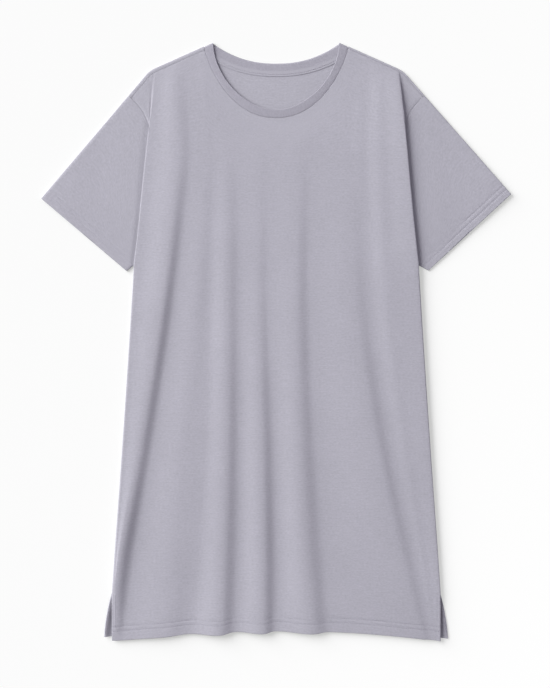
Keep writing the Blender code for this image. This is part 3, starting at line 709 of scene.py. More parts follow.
def turned_edge(flat, fold, seam, low_z, end_z):
    """The front's edge, from the flat of the panel over its fold and under to its seam.

    flat holds X, Y and Z, fold and seam X and Y.
    """
    points = []
    for turn in TURNS:
        plan = mix_points(fold, seam, turn.to_seam)
        if turn.inward:
            plan = mix_points(fold, flat[:2], turn.inward)
        points.append((*plan, mix(flat[2], mix(low_z, end_z, turn.to_seam), turn.drop)))
    return points


def with_edges(row, edges):
    """A panel's row with both its edges, which are drawn out smooth."""
    fine = {}
    for side in SIDES:
        inner = row[1::-1] if side is RIGHT else row[-2:]
        fine[side] = smooth([*inner, *edges[side]], ROW_STEPS)[ROW_STEPS + 1:]
    return np.concatenate((fine[RIGHT][::-1], row, fine[LEFT]))


def lower_row(y):
    """The front's row at a height up to the chest line."""
    row = [(x, y, z) for x, z in panel_section(y)]
    opened = ease((OPENING_TOP_Y - y) / SLIT_OPENING)
    edges = {}
    for side in SIDES:
        flat = row[0] if side is RIGHT else row[-1]
        if y > UNDERARM[1]:
            fold_x = fold_half_width(side, y)
            seam_x = armhole_x(side, FRONT_ARMHOLE, y) - ARMHOLE_GAP / 2
            seam_x = min(seam_x, fold_x - SIDE_TURN_UNDER)
            height = edge_height(y)
        else:
            fold_x = side_half_width(y) - WALL / 2
            seam_x = fold_x - mix(SIDE_TURN_UNDER, SLIT_TURN_IN, opened)
            height = mix(edge_height(y), flat[2] - HEM_LAYER_DROP, opened)
        edges[side] = turned_edge(
            flat, (side.sign * fold_x, y), (side.sign * seam_x, y), height, height
        )
    return with_edges(row, edges)


def with_hem_curve(row, y):
    """Bends a row near the hem: down at its corners and where a fold stands up."""
    fade = 1.0 - ease((y - HEM_Y) / HEM_FADE)
    x = row[:, 0]
    corner = np.where(x < 0.0, *HEM_CORNER_DROPS) * np.abs(x / SLIT_TOP[0]) ** HEM_CURVE
    in_corner = np.maximum(HEM_CORNER_WIDTH - SLIT_TOP[0] - x, 0.0) / HEM_CORNER_WIDTH
    corner -= HEM_CORNER_RISE * in_corner**2
    wave = HEM_WAVE * (row[:, 2] - HEM_LEVEL)
    wave[:EDGE_COLUMNS] = wave[EDGE_COLUMNS]
    wave[-EDGE_COLUMNS:] = wave[-EDGE_COLUMNS - 1]
    bent = row.copy()
    bent[:, 1] -= (corner + wave) * fade
    return bent


def yoke_top():
    """Where the front's columns end: along a shoulder seam, the neckline and the other seam."""
    top = NECK_SEAM.spaced(NECK_COLUMNS, SEAM_GAP)
    for side in SIDES:
        depth = side.seam_inset + SEAM_GAP / 2
        start = neck_end(side, depth)
        seam = []
        for step in range(SHOULDER_COLUMNS + 1):
            distance = mix(start, side.fold_start - side.rounding[1], step / SHOULDER_COLUMNS)
            x, y = SHOULDER_FOLDS[side].at(distance, depth)
            seam.append((side.sign * x, y))
        top = seam[::-1] + top[1:] if side is RIGHT else top[:-1] + seam
    return top


def yoke_row(share, seams):
    """The front's row at a share of the way from the chest line to its top edge.

    Beside the armhole folds it keeps its height nearly up to the shoulder seam.
    """
    row = []
    for (x, z), (top_x, top_y) in zip(panel_section(CHEST_Y), yoke_top()):
        plan = mix_points((x, CHEST_Y), (top_x, top_y), share)
        beside_fold = ease((abs(top_x) - NECK_HALF_WIDTH) / FOLD_SHOULDER)
        down = mix(ease(share), share**FOLD_HOLD, beside_fold)
        row.append((*plan, mix(z, SHOULDER_Z, down)))
    edges = {}
    for side in SIDES:
        seam_x, seam_y = seams[side]
        fold = (fold_half_width(side, seam_y), seam_y)
        above = 2.0 * share - 1.0
        if above > 0.0:
            start = (fold_half_width(side, CROSSINGS[side]), CROSSINGS[side])
            end = SHOULDER_FOLDS[side].at(side.fold_start, side.seam_inset + SEAM_GAP / 2)
            fold = mix_points(start, end, above)
        else:
            seam_x = min(seam_x, fold[0] - SIDE_TURN_UNDER * ease(-above * TURN_UNDER_FADE))
        fold = (side.sign * fold[0], fold[1])
        flat = row[0] if side is RIGHT else row[-1]
        settled = ease(above * YOKE_SETTLING)
        yoke_z = mix(SHOULDER_Z, flat[2], side.yoke_share)
        low_z = mix(FRONT_ON_SLEEVE_Z, yoke_z, settled)
        end_z = mix(FRONT_ON_SLEEVE_Z, sleeve_height(side, seam_x, seam_y), settled)
        edges[side] = turned_edge(flat, fold, (side.sign * seam_x, seam_y), low_z, end_z)
        if above > 0.0:
            dip = side.yoke_dip * settled * (1.0 - above**FOLD_HOLD)
            edges[side] = [
                (*point[:2], point[2] - dip * turn.dip)
                for point, turn in zip(edges[side], TURNS)
            ]
            edges[side][-1] = (*edges[side][-1][:2], end_z - SEAM_DIP)
        if above == 0.0:
            edges[side][FOLD_TURN:] = [edges[side][FOLD_TURN]] * (len(TURNS) - FOLD_TURN)
    return with_edges(row, edges)


def shoulder_row(side):
    """Distances along the shoulder fold of the front's columns beyond its armhole fold."""
    turns = [side.fold_start - side.rounding[1]]
    for turn in TURNS:
        distance = side.fold_start - turn.inward * side.rounding[1]
        turns.append(mix(distance, ARMHOLE_START - ARMHOLE_GAP / 2, turn.to_seam))
    steps = np.arange(1, EDGE_COLUMNS + 1) / ROW_STEPS
    return list(np.interp(steps, range(len(turns)), turns))


def body_heights(hem_y):
    """Heights of the body's rows, close together at the hem."""
    heights = list(np.arange(0.0, HEM_ZONE, HEM_ROW_SPACING) + hem_y)
    count = round((UNDERARM[1] - hem_y - HEM_ZONE) / ROW_SPACING)
    return heights + [mix(hem_y + HEM_ZONE, UNDERARM[1], step / count) for step in range(count)]


def front_rows():
    """All the front's rows, from its hem up, and how many of them lie below the crossing."""
    rows = []
    for y in body_heights(HEM_Y):
        row = with_hem_curve(lower_row(y), y)
        row[:, 2] -= groove(y - HEM_Y, HEM_ROWS_UP)
        rows.append(row)
    rows[0][:, 1] += HEM_TURN
    count = round((CHEST_Y - UNDERARM[1]) / ROW_SPACING)
    start = UNDERARM[1] + UNDERARM_STEP
    rows += [lower_row(mix(start, CHEST_Y, step / count)) for step in range(count + 1)]
    seams = {
        side: armhole_seam(
            side, FRONT_ARMHOLE, side.seam_inset + SEAM_GAP / 2, -ARMHOLE_GAP / 2, 1, YOKE_ROWS
        )[1:]
        for side in SIDES
    }
    crossing = len(rows) - 1 + YOKE_ROWS // 2
    for step in range(1, YOKE_ROWS + 1):
        rows.append(yoke_row(step / YOKE_ROWS, {side: seams[side][step] for side in seams}))
    for side in SIDES:
        along = shoulder_row(side)
        for column in range(EDGE_COLUMNS):
            x, y = SHOULDER_FOLDS[side].at(along[column], side.seam_inset + SEAM_GAP / 2)
            index = EDGE_COLUMNS - 1 - column if side is RIGHT else column - EDGE_COLUMNS
            rows[-1][index] = (side.sign * x, y, SHOULDER_Z)
    return rows[:-1] + sunk_edge(rows[-2], rows[-1]), crossing


def sunk_edge(before, edge):
    """The last rows of a patch, where its edge sinks into a seam."""
    gap = np.linalg.norm(edge - before, axis=1)[:, None]
    sunk = []
    for inward, share in (
        (SEAM_DIP_WIDTH, 0.0), (SEAM_DIP_WIDTH / 2, SEAM_DIP_HALFWAY), (0.0, 1.0),
    ):
        row = edge + (before - edge) * np.minimum(inward / gap, MOST_SUNK)
        row[:, 2] -= SEAM_DIP * share
        sunk.append(row)
    return sunk


def hem_rows(edge, up, inward, depth):
    """Rows that turn in at a hem's edge row and run back inside it, the innermost first.

    up is the direction back from the edge, and inward the one towards the inside, for each point.
    """
    rows = (*HEM_TURN_ROWS, (0.5 * depth, 1.0), (depth, 1.0))
    return [edge + up * back + inward * HEM_LAYER_DROP * share for back, share in rows][::-1]


# ---------------------------------------------------------------- back

def back_half_width(side, y):
    """Half width of the back below the underarm, with its slit edge flaring out."""
    flare = 0.0
    if y < SLIT_TOP[1]:
        share = min((SLIT_TOP[1] - y) / (SLIT_TOP[1] - side.back_corner[1]), 1.0)
        flare = (side.back_corner[0] - SLIT_TOP[0]) * (1.0 - (1.0 - share) ** BACK_FLARE_CURVE)
    return side_half_width(y) + flare - BACK_INSET


def back_hem_drop(x, y):
    """How far the back's rows bend down towards its hem's corners."""
    fade = 1.0 - ease((y - BACK_HEM_Y) / HEM_FADE)
    drop = np.where(x < 0.0, *BACK_HEM_CORNER_DROPS)
    return drop * np.abs(x / SLIT_TOP[0]) ** HEM_CURVE * fade


def slit_curl(side, y, from_edge):
    """How far the back curls up at a distance in from its slit edge."""
    opened = ease((OPENING_TOP_Y - y) / SLIT_OPENING)
    return side.slit_lip * opened * np.interp(from_edge, SLIT_LIP_REACH, SLIT_LIP_SHARES)


def shoulder_roll(side):
    """Rows of the back's roll over the shoulder fold, from its flat up and over to the seam."""
    start = side.fold_start - side.rounding[1]
    distances = [start * step / SHOULDER_COLUMNS for step in range(1, SHOULDER_COLUMNS + 1)]
    distances += shoulder_row(side)
    depths = []
    for step in range(ROLL_STEPS + 1):
        angle = math.pi * step / ROLL_STEPS
        depths.append((
            SHOULDER_REACH - SHOULDER_ROLL * math.sin(angle),
            mix(BACK_Z, SHOULDER_Z, (1.0 - math.cos(angle)) / 2),
        ))
    seam = side.seam_inset - SEAM_GAP / 2
    depths.append((seam - SEAM_DIP_WIDTH, SHOULDER_Z))
    depths.append((seam - SEAM_DIP_WIDTH / 2, SHOULDER_Z - SEAM_DIP * SEAM_DIP_HALFWAY))
    depths.append((seam, SHOULDER_Z - SEAM_DIP))
    rows = []
    for depth, z in depths:
        start = neck_end(side, depth)
        row = [SHOULDER_FOLDS[side].at(along, depth) for along in (start, *distances)]
        rows.append([(side.sign * x, y, z) for x, y in row])
    return rows


def back_rows(rolls):
    """The back's rows, from its hem up to the shoulders and the neckline.

    Below the underarm they lie half as close as the front's.
    """
    neckline = BACK_NECK_SEAM.spaced(BACK_NECK_COLUMNS, SEAM_GAP)[1:-1]
    neckline = [(x, y, BACK_Z) for x, y in neckline]
    top = np.array([*rolls[RIGHT][0][::-1], *neckline, *rolls[LEFT][0]])
    columns = len(top) - 1
    across = np.arange(columns + 1) / columns
    at_edge = len(BACK_EDGE_COLUMNS)
    across[:at_edge] = np.array(BACK_EDGE_COLUMNS) / (2.0 * SLIT_TOP[0])
    across[-at_edge:] = 1.0 - across[at_edge - 1::-1]
    rows = []
    for y in [BACK_HEM_Y, BACK_HEM_Y + BACK_EDGE_ROW, *body_heights(BACK_HEM_Y)[2::2]]:
        x = mix(-back_half_width(RIGHT, y), back_half_width(LEFT, y), across)
        z = np.full(columns + 1, BACK_Z)
        for side, edge in ((RIGHT, across), (LEFT, 1.0 - across)):
            z += slit_curl(side, y, edge * 2.0 * SLIT_TOP[0])
        rows.append(np.stack((x, y - back_hem_drop(x, y), z), axis=1))
    low_rows, high_rows = BACK_ROWS
    seams = {
        side: armhole_seam(side, BACK_ARMHOLE, SHOULDER_REACH, -ARMHOLE_GAP / 2, *BACK_ROWS)
        for side in SIDES
    }
    chest = {side: armhole_x(side, BACK_ARMHOLE, CHEST_Y) - ARMHOLE_GAP / 2 for side in SIDES}
    start = np.stack((
        mix(-chest[RIGHT], chest[LEFT], across),
        np.full(columns + 1, CHEST_Y),
        np.full(columns + 1, BACK_Z),
    ), axis=1)
    for step in range(low_rows + high_rows + 1):
        row = mix(start, top, max(step - low_rows, 0) / high_rows)
        ends = np.array([seams[RIGHT][step], seams[LEFT][step]]) * ((-1.0, 1.0), (1.0, 1.0))
        to_seams = ends - row[[0, -1], :2]
        row[:, :2] += mix(to_seams[0], to_seams[1], across[:, None])
        rows.append(row)
    return rows


# ---------------------------------------------------------------- sleeves

def half_turn(start, end, outward, radius):
    """The points of a half turn of cloth between two layers, without its ends."""
    points = []
    for step in range(1, ROLL_STEPS):
        angle = math.pi * step / ROLL_STEPS
        x, y, z = mix_points(start, end, (1.0 - math.cos(angle)) / 2)
        out = radius * math.sin(angle)
        points.append((x + outward[0] * out, y + outward[1] * out, z))
    return points


def sleeve_layer(side, seam, cuff_low, cuff_top, covered):
    """Rows across one layer of the sleeve, from its armhole to its cuff.

    On a covered layer one row follows the fold of the front that lies over it.
    """
    distances = Line(seam).distances
    columns = []
    for start, distance in zip(seam, distances):
        end = mix_points(cuff_low, cuff_top, distance / distances[-1])
        dip = SEAM_DIP_WIDTH / math.dist(start, end)
        near = dip + SLEEVE_SEAM_SHARE
        if covered:
            inside, outside = (x - fold_half_width(side, y) for x, y in (start, end))
            near = max(near, inside / (inside - outside))
        far = mix(near, 1.0, SLEEVE_MAIN_SHARE)
        shares = [0.0, dip / 2, dip, *np.linspace(near, far, SLEEVE_ROWS)]
        shares += list(np.linspace(far, 1.0, SLEEVE_ROWS))[1:]
        columns.append([mix_points(start, end, share) for share in shares])
    return list(zip(*columns))


class SleeveFrame(NamedTuple):
    """A sleeve's directions out from its two folds, and its cuff's ends, for a positive X."""

    top_out: np.ndarray
    low_out: np.ndarray
    cuff_low: np.ndarray
    cuff_top: np.ndarray


def unit(vector):
    """A direction as a vector one long."""
    vector = np.array(vector, dtype=float)
    return vector / np.linalg.norm(vector)


def sleeve_frame(side):
    """A sleeve's frame: its cuff ends short by the folds' own reach."""
    cuff_low, cuff_top = np.array(side.cuff_low), np.array(side.cuff_top)
    along_top = unit(cuff_top - SHOULDER_FOLDS[side].at(ARMHOLE_START))
    along_low = unit(cuff_low - UNDERARM)
    along_cuff = unit(cuff_top - cuff_low)
    return SleeveFrame(
        np.array((-along_top[1], along_top[0])),
        np.array((along_low[1], -along_low[0])),
        cuff_low + along_cuff * SHOULDER_REACH,
        cuff_top - along_cuff * SHOULDER_REACH,
    )


class Sleeve(NamedTuple):
    """Closed rings round a sleeve from its armhole to its cuff, for a positive X.

    up and inward are directions at each point of a ring: back from the cuff, and into the tube.
    """

    rings: np.ndarray
    up: np.ndarray
    inward: np.ndarray


def turn_inward(outward, first, last):
    """Directions into the tube round a half turn."""
    angles = np.linspace(first, last, ROLL_STEPS + 1)[1:-1]
    return [(-outward[0] * math.sin(a), -outward[1] * math.sin(a), math.cos(a)) for a in angles]


def make_sleeve_form(side):
    """A sleeve's rings: a lower layer, a half turn, an upper layer and another half turn."""
    form = sleeve_frame(side)
    clearance = ARMHOLE_GAP / 2
    underarm = np.array((UNDERARM[0] + clearance, UNDERARM[1])) - form.low_out * SHOULDER_REACH
    underarm = tuple(underarm)
    start_top = SHOULDER_FOLDS[side].at(ARMHOLE_START + clearance, SHOULDER_REACH)
    counts = (SLEEVE_COLUMNS, SLEEVE_COLUMNS)
    lower = armhole_seam(side, BACK_ARMHOLE, SHOULDER_REACH, clearance, *counts)
    upper = armhole_seam(side, FRONT_ARMHOLE, side.seam_inset + SEAM_GAP / 2, clearance, *counts)
    lower = [underarm, *lower[1:]]
    upper = [underarm, *upper[1:], start_top]
    rings = []
    dips = [SEAM_DIP, SEAM_DIP * SEAM_DIP_HALFWAY]
    for low_row, high_row in zip(
        sleeve_layer(side, lower, form.cuff_low, form.cuff_top, covered=False),
        sleeve_layer(side, upper, form.cuff_low, form.cuff_top, covered=True),
    ):
        below = [(x, y, BACK_Z) for x, y in low_row]
        dip = dips.pop(0) if dips else 0.0
        above = [(x, y, sleeve_height(side, x, y) - dip) for x, y in high_row]
        ring = below + half_turn(below[-1], above[-1], form.top_out, SHOULDER_ROLL)
        ring += above[::-1] + half_turn(above[0], below[0], form.low_out, SHOULDER_ROLL)
        rings.append(ring + ring[:1])
    inward = [(0.0, 0.0, 1.0)] * len(lower) + turn_inward(form.top_out, 0.0, math.pi)
    inward += [(0.0, 0.0, -1.0)] * len(upper) + turn_inward(form.low_out, math.pi, 0.0)
    rings, inward = np.array(rings), np.array(inward + inward[:1])
    up = rings[-CUFF_RUN] - rings[-1]
    up[:, 2] = 0.0
    up /= np.linalg.norm(up, axis=1)[:, None]
    rings[-1] += up * HEM_TURN
    from_cuff = np.linalg.norm((rings - rings[-1])[:, :, :2], axis=2) + HEM_TURN
    rings += inward[None] * groove(from_cuff, CUFF_ROWS_UP)[:, :, None]
    return Sleeve(rings, up, inward)


def sleeve_hem(sleeve):
    """The sleeve's hem inside its cuff, which is narrower where the sleeve is short."""
    edge = sleeve.rings[-1]
    room = np.linalg.norm(sleeve.rings[0] - edge, axis=1)[:, None]
    rows = hem_rows(edge, sleeve.up, sleeve.inward, np.minimum(HEM_DEPTH, room * HEM_ROOM))
    from_cuff = np.linalg.norm((sleeve.rings - edge)[:, :, :2], axis=2)
    for row in rows:
        back = ((row - edge) * sleeve.up).sum(axis=1)
        for column, distance in enumerate(back):
            heights = sleeve.rings[::-1, column, 2]
            outer = np.interp(distance, from_cuff[::-1, column], heights)
            row[column, 2] += outer - edge[column, 2]
    return rows


# ---------------------------------------------------------------- neckband and tape

class Station(NamedTuple):
    """A place along the neckband: its seam and its folded edge in plan, and which way it faces."""

    seam: np.ndarray
    folded: np.ndarray
    z: float
    facing: np.ndarray  # in plan and up


def band_turn(start, end):
    """The neckband's half turn over a shoulder, without its ends."""
    radius = (BAND_FRONT_Z - BAND_BACK_Z) / 2
    across = unit(start.folded - start.seam)
    outward = np.array((-across[1], across[0]))
    outward *= math.copysign(1.0, outward[1])
    stations = []
    for step in range(1, ROLL_STEPS):
        angle = math.pi * step / ROLL_STEPS
        up = math.cos(angle) * start.facing[2]
        out = outward * math.sin(angle)
        share = step / ROLL_STEPS
        stations.append(Station(
            mix(start.seam, end.seam, share) + out * radius,
            mix(start.folded, end.folded, share) + out * radius,
            (BAND_FRONT_Z + BAND_BACK_Z) / 2 + radius * up,
            np.array((out[0], out[1], up)),
        ))
    return stations


def band_stations():
    """The neckband's stations, once round the neck."""
    front_fold = neck_curve(BAND_HALF_WIDTH, BAND_DEPTH, BAND_AXIS_Y, BAND_POWERS)
    back_fold = back_neck_curve(BAND_HALF_WIDTH, BACK_BAND_DEPTH, BAND_AXIS_Y)
    halves = []
    for seam, folded, z, up in (
        (NECK_SEAM, front_fold, BAND_FRONT_Z, 1.0),
        (BACK_NECK_SEAM, back_fold, BAND_BACK_Z, -1.0),
    ):
        halves.append([
            Station(np.array(low), np.array(high), z, np.array((0.0, 0.0, up)))
            for low, high in zip(seam.spaced(BAND_STATIONS), folded.spaced(BAND_STATIONS))
        ])
    front, back = halves[0], halves[1][::-1]
    return front + band_turn(front[-1], back[0]) + back + band_turn(back[-1], front[0])


# The neckband's section, folded double: shares of its width from the seam, and of half its
# thickness up from its middle
BAND_SECTION = (
    (0.00, -0.56), (0.25, -0.56), (0.55, -0.56), (0.80, -0.56), (0.89, -0.46), (0.94, -0.20),
    (0.975, 0.10), (0.995, 0.34), (1.00, 0.48), (0.985, 0.56), (0.95, 0.56), (0.85, 0.56),
    (0.60, 0.56), (0.35, 0.54), (0.18, 0.48), (0.09, 0.40), (0.035, 0.30), (0.00, 0.18),
)


def band_rings():
    """The neckband's section at each of its stations, once round the neck and closed."""
    rings = []
    for station in band_stations():
        ring = []
        for across, through in BAND_SECTION:
            place = mix(station.seam, station.folded, across)
            lean = station.facing * through * RIB / 2
            lift = BAND_LIFT * across * max(station.facing[2], 0.0)
            ring.append((place[0] + lean[0], place[1] + lean[1], station.z + lean[2] + lift))
        rings.append(ring)
    return rings + rings[:1]


def tape_line(down, z):
    """A line along the neck tape at a height, down from the tape's upper edge."""
    return [(*point, z) for point in TAPE_SEAM.spaced(TAPE_STATIONS, TAPE_GAP + down)]


def tape_rows():
    """The neck tape's rows, from its lower edge up."""
    rows = []
    for down in np.linspace(TAPE_WIDTH, 0.0, TAPE_STRIPS + 1):
        stepped = ease((down - TAPE_ROWS[1]) / TAPE_STEP_WIDTH + 0.5)
        rows.append(tape_line(down, TAPE_Z - TAPE_STEP * stepped))
    return rows


# ---------------------------------------------------------------- meshes

def with_grain(rows, along_start=0.0):
    """Adds the place in the cloth to each point of a patch: across its wales and along them."""
    rows = np.asarray(rows, dtype=float)
    steps = np.linalg.norm(np.diff(rows, axis=1), axis=2)
    across = np.concatenate((np.zeros((len(rows), 1)), np.cumsum(steps, axis=1)), axis=1)
    across -= across[:, across.shape[1] // 2][:, None]
    climbs = np.linalg.norm(np.diff(rows, axis=0), axis=2).mean(axis=1)
    along = along_start + np.concatenate(([0.0], np.cumsum(climbs)))
    along = np.broadcast_to(along[:, None], across.shape)
    return np.concatenate((rows, across[..., None], along[..., None]), axis=2)


def patch_mesh(name, patches):
    """A mesh from patches of points, each with its grain; True beside one turns its faces over."""
    verts, faces, grain = [], [], []
    start = 0
    for patch, turned in patches:
        high, wide = patch.shape[:2]
        corner = start + np.arange(high - 1)[:, None] * wide + np.arange(wide - 1)[None, :]
        corner = corner.ravel()
        quads = np.stack((corner, corner + 1, corner + wide + 1, corner + wide), axis=1)
        faces.append(quads[:, ::-1] if turned else quads)
        verts.append(patch[..., :3].reshape(-1, 3) * MM)
        grain.append(patch[..., 3:].reshape(-1, 2) * MM)
        start += high * wide
    verts, faces, grain = (np.concatenate(part) for part in (verts, faces, grain))
    mesh = bpy.data.meshes.new(name)
    mesh.from_pydata(verts.tolist(), [], faces.tolist())
    layer = mesh.uv_layers.new(name="grain")
    layer.data.foreach_set("uv", grain[faces.ravel()].ravel())
    work = bmesh.new()
    work.from_mesh(mesh)
    bmesh.ops.remove_doubles(work, verts=work.verts, dist=MERGE_DISTANCE * MM)
    if all(edge.is_manifold for edge in work.edges) and work.calc_volume(signed=True) < 0.0:
        bmesh.ops.reverse_faces(work, faces=work.faces)
    work.to_mesh(mesh)
    work.free()
    return mesh


def make_piece(name, mesh, material, slot, *nodes):
    """A finished piece that rides with the dress and stands for its solids."""
    mesh.materials.append(material)
    mesh.shade_smooth()
    piece = bpy.data.objects.new(name, mesh)
    bpy.context.scene.collection.objects.link(piece)
    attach(piece, "root")
    if nodes:
        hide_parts(*nodes)
    return piece


def thicken(piece, thickness, offset):
    """Gives a sheet its thickness, shared between its two faces by the offset, and crisp edges."""
    wall = piece.modifiers.new("thickness", "SOLIDIFY")
    wall.thickness = thickness
    wall.offset = offset
    wall.use_even_offset = False
    sheet = piece.data
    evaluated = piece.evaluated_get(bpy.context.evaluated_depsgraph_get())
    piece.data = bpy.data.meshes.new_from_object(evaluated)
    piece.modifiers.remove(wall)
    piece.data.name = sheet.name
    piece.data.set_sharp_from_angle(angle=math.radians(CRISP_ANGLE))
    bpy.data.meshes.remove(sheet)


def outer_offset(thickness):
    """The offset that puts a thin layer's outer face where the solid's wall has its own."""
    return WALL * MM / thickness - 1.0


# ---------------------------------------------------------------- materials

def wire(tree, node, inputs):
    """Gives a node its inputs: for each a socket to link from, or a value."""
    for name, value in inputs.items():
        socket = node.inputs[name]
        if isinstance(value, bpy.types.NodeSocket):
            tree.links.new(value, socket)
        else:
            socket.default_value = value


def put(tree, kind, inputs=None, **settings):
    """Adds a node with its settings and its inputs."""
    node = tree.nodes.new(kind)
    for name, value in settings.items():
        setattr(node, name, value)
    wire(tree, node, inputs or {})
    return node


def sums(tree, operation, *values):
    """A Math node's result."""
    return put(tree, "ShaderNodeMath", dict(enumerate(values)), operation=operation).outputs[0]


def vector_sums(tree, operation, *values):
    """A Vector Math node's resulting vector."""
    inputs = dict(enumerate(values))
    return put(tree, "ShaderNodeVectorMath", inputs, operation=operation).outputs[0]


def new_group(name, kind, inputs, outputs):
    """A node group with named sockets; returns it with its input and output nodes."""
    tree = bpy.data.node_groups.new(name, kind)
    for direction, sockets in (("INPUT", inputs), ("OUTPUT", outputs)):
        for label, holds in sockets.items():
            tree.interface.new_socket(label, in_out=direction, socket_type="NodeSocket" + holds)
    return tree, tree.nodes.new("NodeGroupInput"), tree.nodes.new("NodeGroupOutput")


def knit_group():
    """Columns of V-shaped stitches, as a height from 0 to 1."""
    if "Knit" in bpy.data.node_groups:
        return bpy.data.node_groups["Knit"]
    inputs = {"Grain": "Vector", "Wale pitch": "Float", "Course pitch": "Float"}
    tree, given, result = new_group("Knit", "ShaderNodeTree", inputs, {"Height": "Float"})
    grain = put(tree, "ShaderNodeSeparateXYZ", {0: given.outputs["Grain"]})
    wale = sums(tree, "FRACT", sums(tree, "DIVIDE", grain.outputs["X"], given.outputs["Wale pitch"]))
    from_middle = sums(tree, "ABSOLUTE", sums(tree, "SUBTRACT", wale, 0.5))
    leg = sums(tree, "SINE", sums(tree, "MULTIPLY", from_middle, 2 * math.pi))
    course = sums(tree, "DIVIDE", grain.outputs["Y"], given.outputs["Course pitch"])
    slanted = sums(tree, "MULTIPLY_ADD", from_middle, KNIT_SLANT, course)
    loop = sums(tree, "SINE", sums(tree, "MULTIPLY", slanted, 2 * math.pi))
    loop = sums(tree, "MULTIPLY_ADD", loop, KNIT_RELIEF, 1.0 - KNIT_RELIEF)
    tree.links.new(sums(tree, "MULTIPLY", leg, loop), result.inputs["Height"])
    return tree


def yarn_group():
    """Uneven yarn, as a tone round 0."""
    if "Yarn" in bpy.data.node_groups:
        return bpy.data.node_groups["Yarn"]
    tree, given, result = new_group(
        "Yarn", "ShaderNodeTree", {"Grain": "Vector"}, {"Tone": "Float"}
    )
    tone = None
    for scale, weight in YARN_NOISE:
        place = vector_sums(tree, "MULTIPLY", given.outputs["Grain"], scale)
        noise = put(
            tree, "ShaderNodeTexNoise",
            {"Vector": place, "Scale": 1.0, "Detail": 2.0, "Roughness": 0.5},
        )
        centred = sums(tree, "SUBTRACT", noise.outputs["Fac"], 0.5)
        weighted = sums(tree, "MULTIPLY", centred, weight)
        tone = weighted if tone is None else sums(tree, "ADD", tone, weighted)
    tree.links.new(tone, result.inputs["Tone"])
    return tree


def new_material(name, inputs):
    """A material whose shader has the inputs; returns it with its node tree and its shader."""
    material = bpy.data.materials.new(name)
    material.use_nodes = True
    tree = material.node_tree
    shader = tree.nodes["Principled BSDF"]
    wire(tree, shader, inputs)
    return material, tree, shader


def cloth_material(name, colour, height_of, relief, relief_depth, unevenness):
    """Knitted cloth: uneven yarn in its colour and stitches in its relief."""
    if name in bpy.data.materials:
        return bpy.data.materials[name]
    material, tree, shader = new_material(name, {
        "Roughness": 0.88, "Specular IOR Level": 0.25, "Sheen Weight": 0.04, "Sheen Roughness": 0.5,
    })
    grain = put(tree, "ShaderNodeUVMap", uv_map="grain").outputs["UV"]
    yarn = put(tree, "ShaderNodeGroup", {"Grain": grain}, node_tree=yarn_group())
    brightness = sums(tree, "MULTIPLY_ADD", yarn.outputs["Tone"], unevenness, 1.0)
    tint = vector_sums(tree, "MULTIPLY", tuple(colour), brightness)
    bump = put(
        tree, "ShaderNodeBump",
        {"Height": height_of(tree, grain), "Strength": relief, "Distance": relief_depth},
    )
    wire(tree, shader, {"Base Color": tint, "Normal": bump.outputs["Normal"]})
    return material


def jersey_height(tree, grain):
    """Knit stitches all over."""
    cloth = bpy.context.scene.dress_cloth
    inputs = {"Grain": grain, "Wale pitch": cloth.wale_pitch, "Course pitch": cloth.course_pitch}
    return put(tree, "ShaderNodeGroup", inputs, node_tree=knit_group()).outputs["Height"]


def rib_height(tree, grain):
    """Ribs across the band, with knit on them."""
    cloth = bpy.context.scene.dress_cloth
    place = put(tree, "ShaderNodeSeparateXYZ", {0: grain})
    wave = sums(tree, "MULTIPLY", place.outputs["Y"], 2 * math.pi / cloth.rib_pitch)
    rib = sums(tree, "MULTIPLY_ADD", sums(tree, "SINE", wave), 0.5, 0.5)
    return sums(tree, "MULTIPLY_ADD", jersey_height(tree, grain), 0.4, rib)


def jersey():
    """The dress's own jersey."""
    colour = bpy.context.scene.dress_cloth.jersey_colour
    return cloth_material(
        "jersey knit", colour, jersey_height, relief=0.3, relief_depth=0.2 * MM, unevenness=0.35
    )


def rib():
    """The neckband's rib knit."""
    colour = bpy.context.scene.dress_cloth.rib_colour
    return cloth_material(
        "rib knit", colour, rib_height, relief=0.5, relief_depth=0.3 * MM, unevenness=0.24
    )


def tape():
    """The neck tape's jersey, which is more even."""
    colour = bpy.context.scene.dress_cloth.jersey_colour
    return cloth_material(
        "tape knit", colour, jersey_height, relief=0.4, relief_depth=0.2 * MM, unevenness=0.08
    )


def thread():
    """Spun thread: fine plies wound round it."""
    if "sewing thread" in bpy.data.materials:
        return bpy.data.materials["sewing thread"]
    material, tree, shader = new_material("sewing thread", {"Roughness": 0.6})
    place = put(tree, "ShaderNodeTexCoord").outputs["Object"]
    plies = put(
        tree, "ShaderNodeTexWave",
        {"Vector": place, "Scale": 900.0, "Distortion": 1.5},
        wave_type="BANDS", bands_direction="DIAGONAL",
    )
    shade = put(
        tree, "ShaderNodeMapRange",
        {"Value": plies.outputs["Fac"], "To Min": 0.9, "To Max": 1.06},
    )
    # Partly painted shade: this dark thread colour also stands in for the shade on the overlocked
    # slit flaps, besides the thread's own tone.
    colour = tuple(bpy.context.scene.dress_cloth.thread_and_shade_colour)
    tint = vector_sums(tree, "MULTIPLY", colour, shade.outputs[0])
    wire(tree, shader, {"Base Color": tint})
    return material


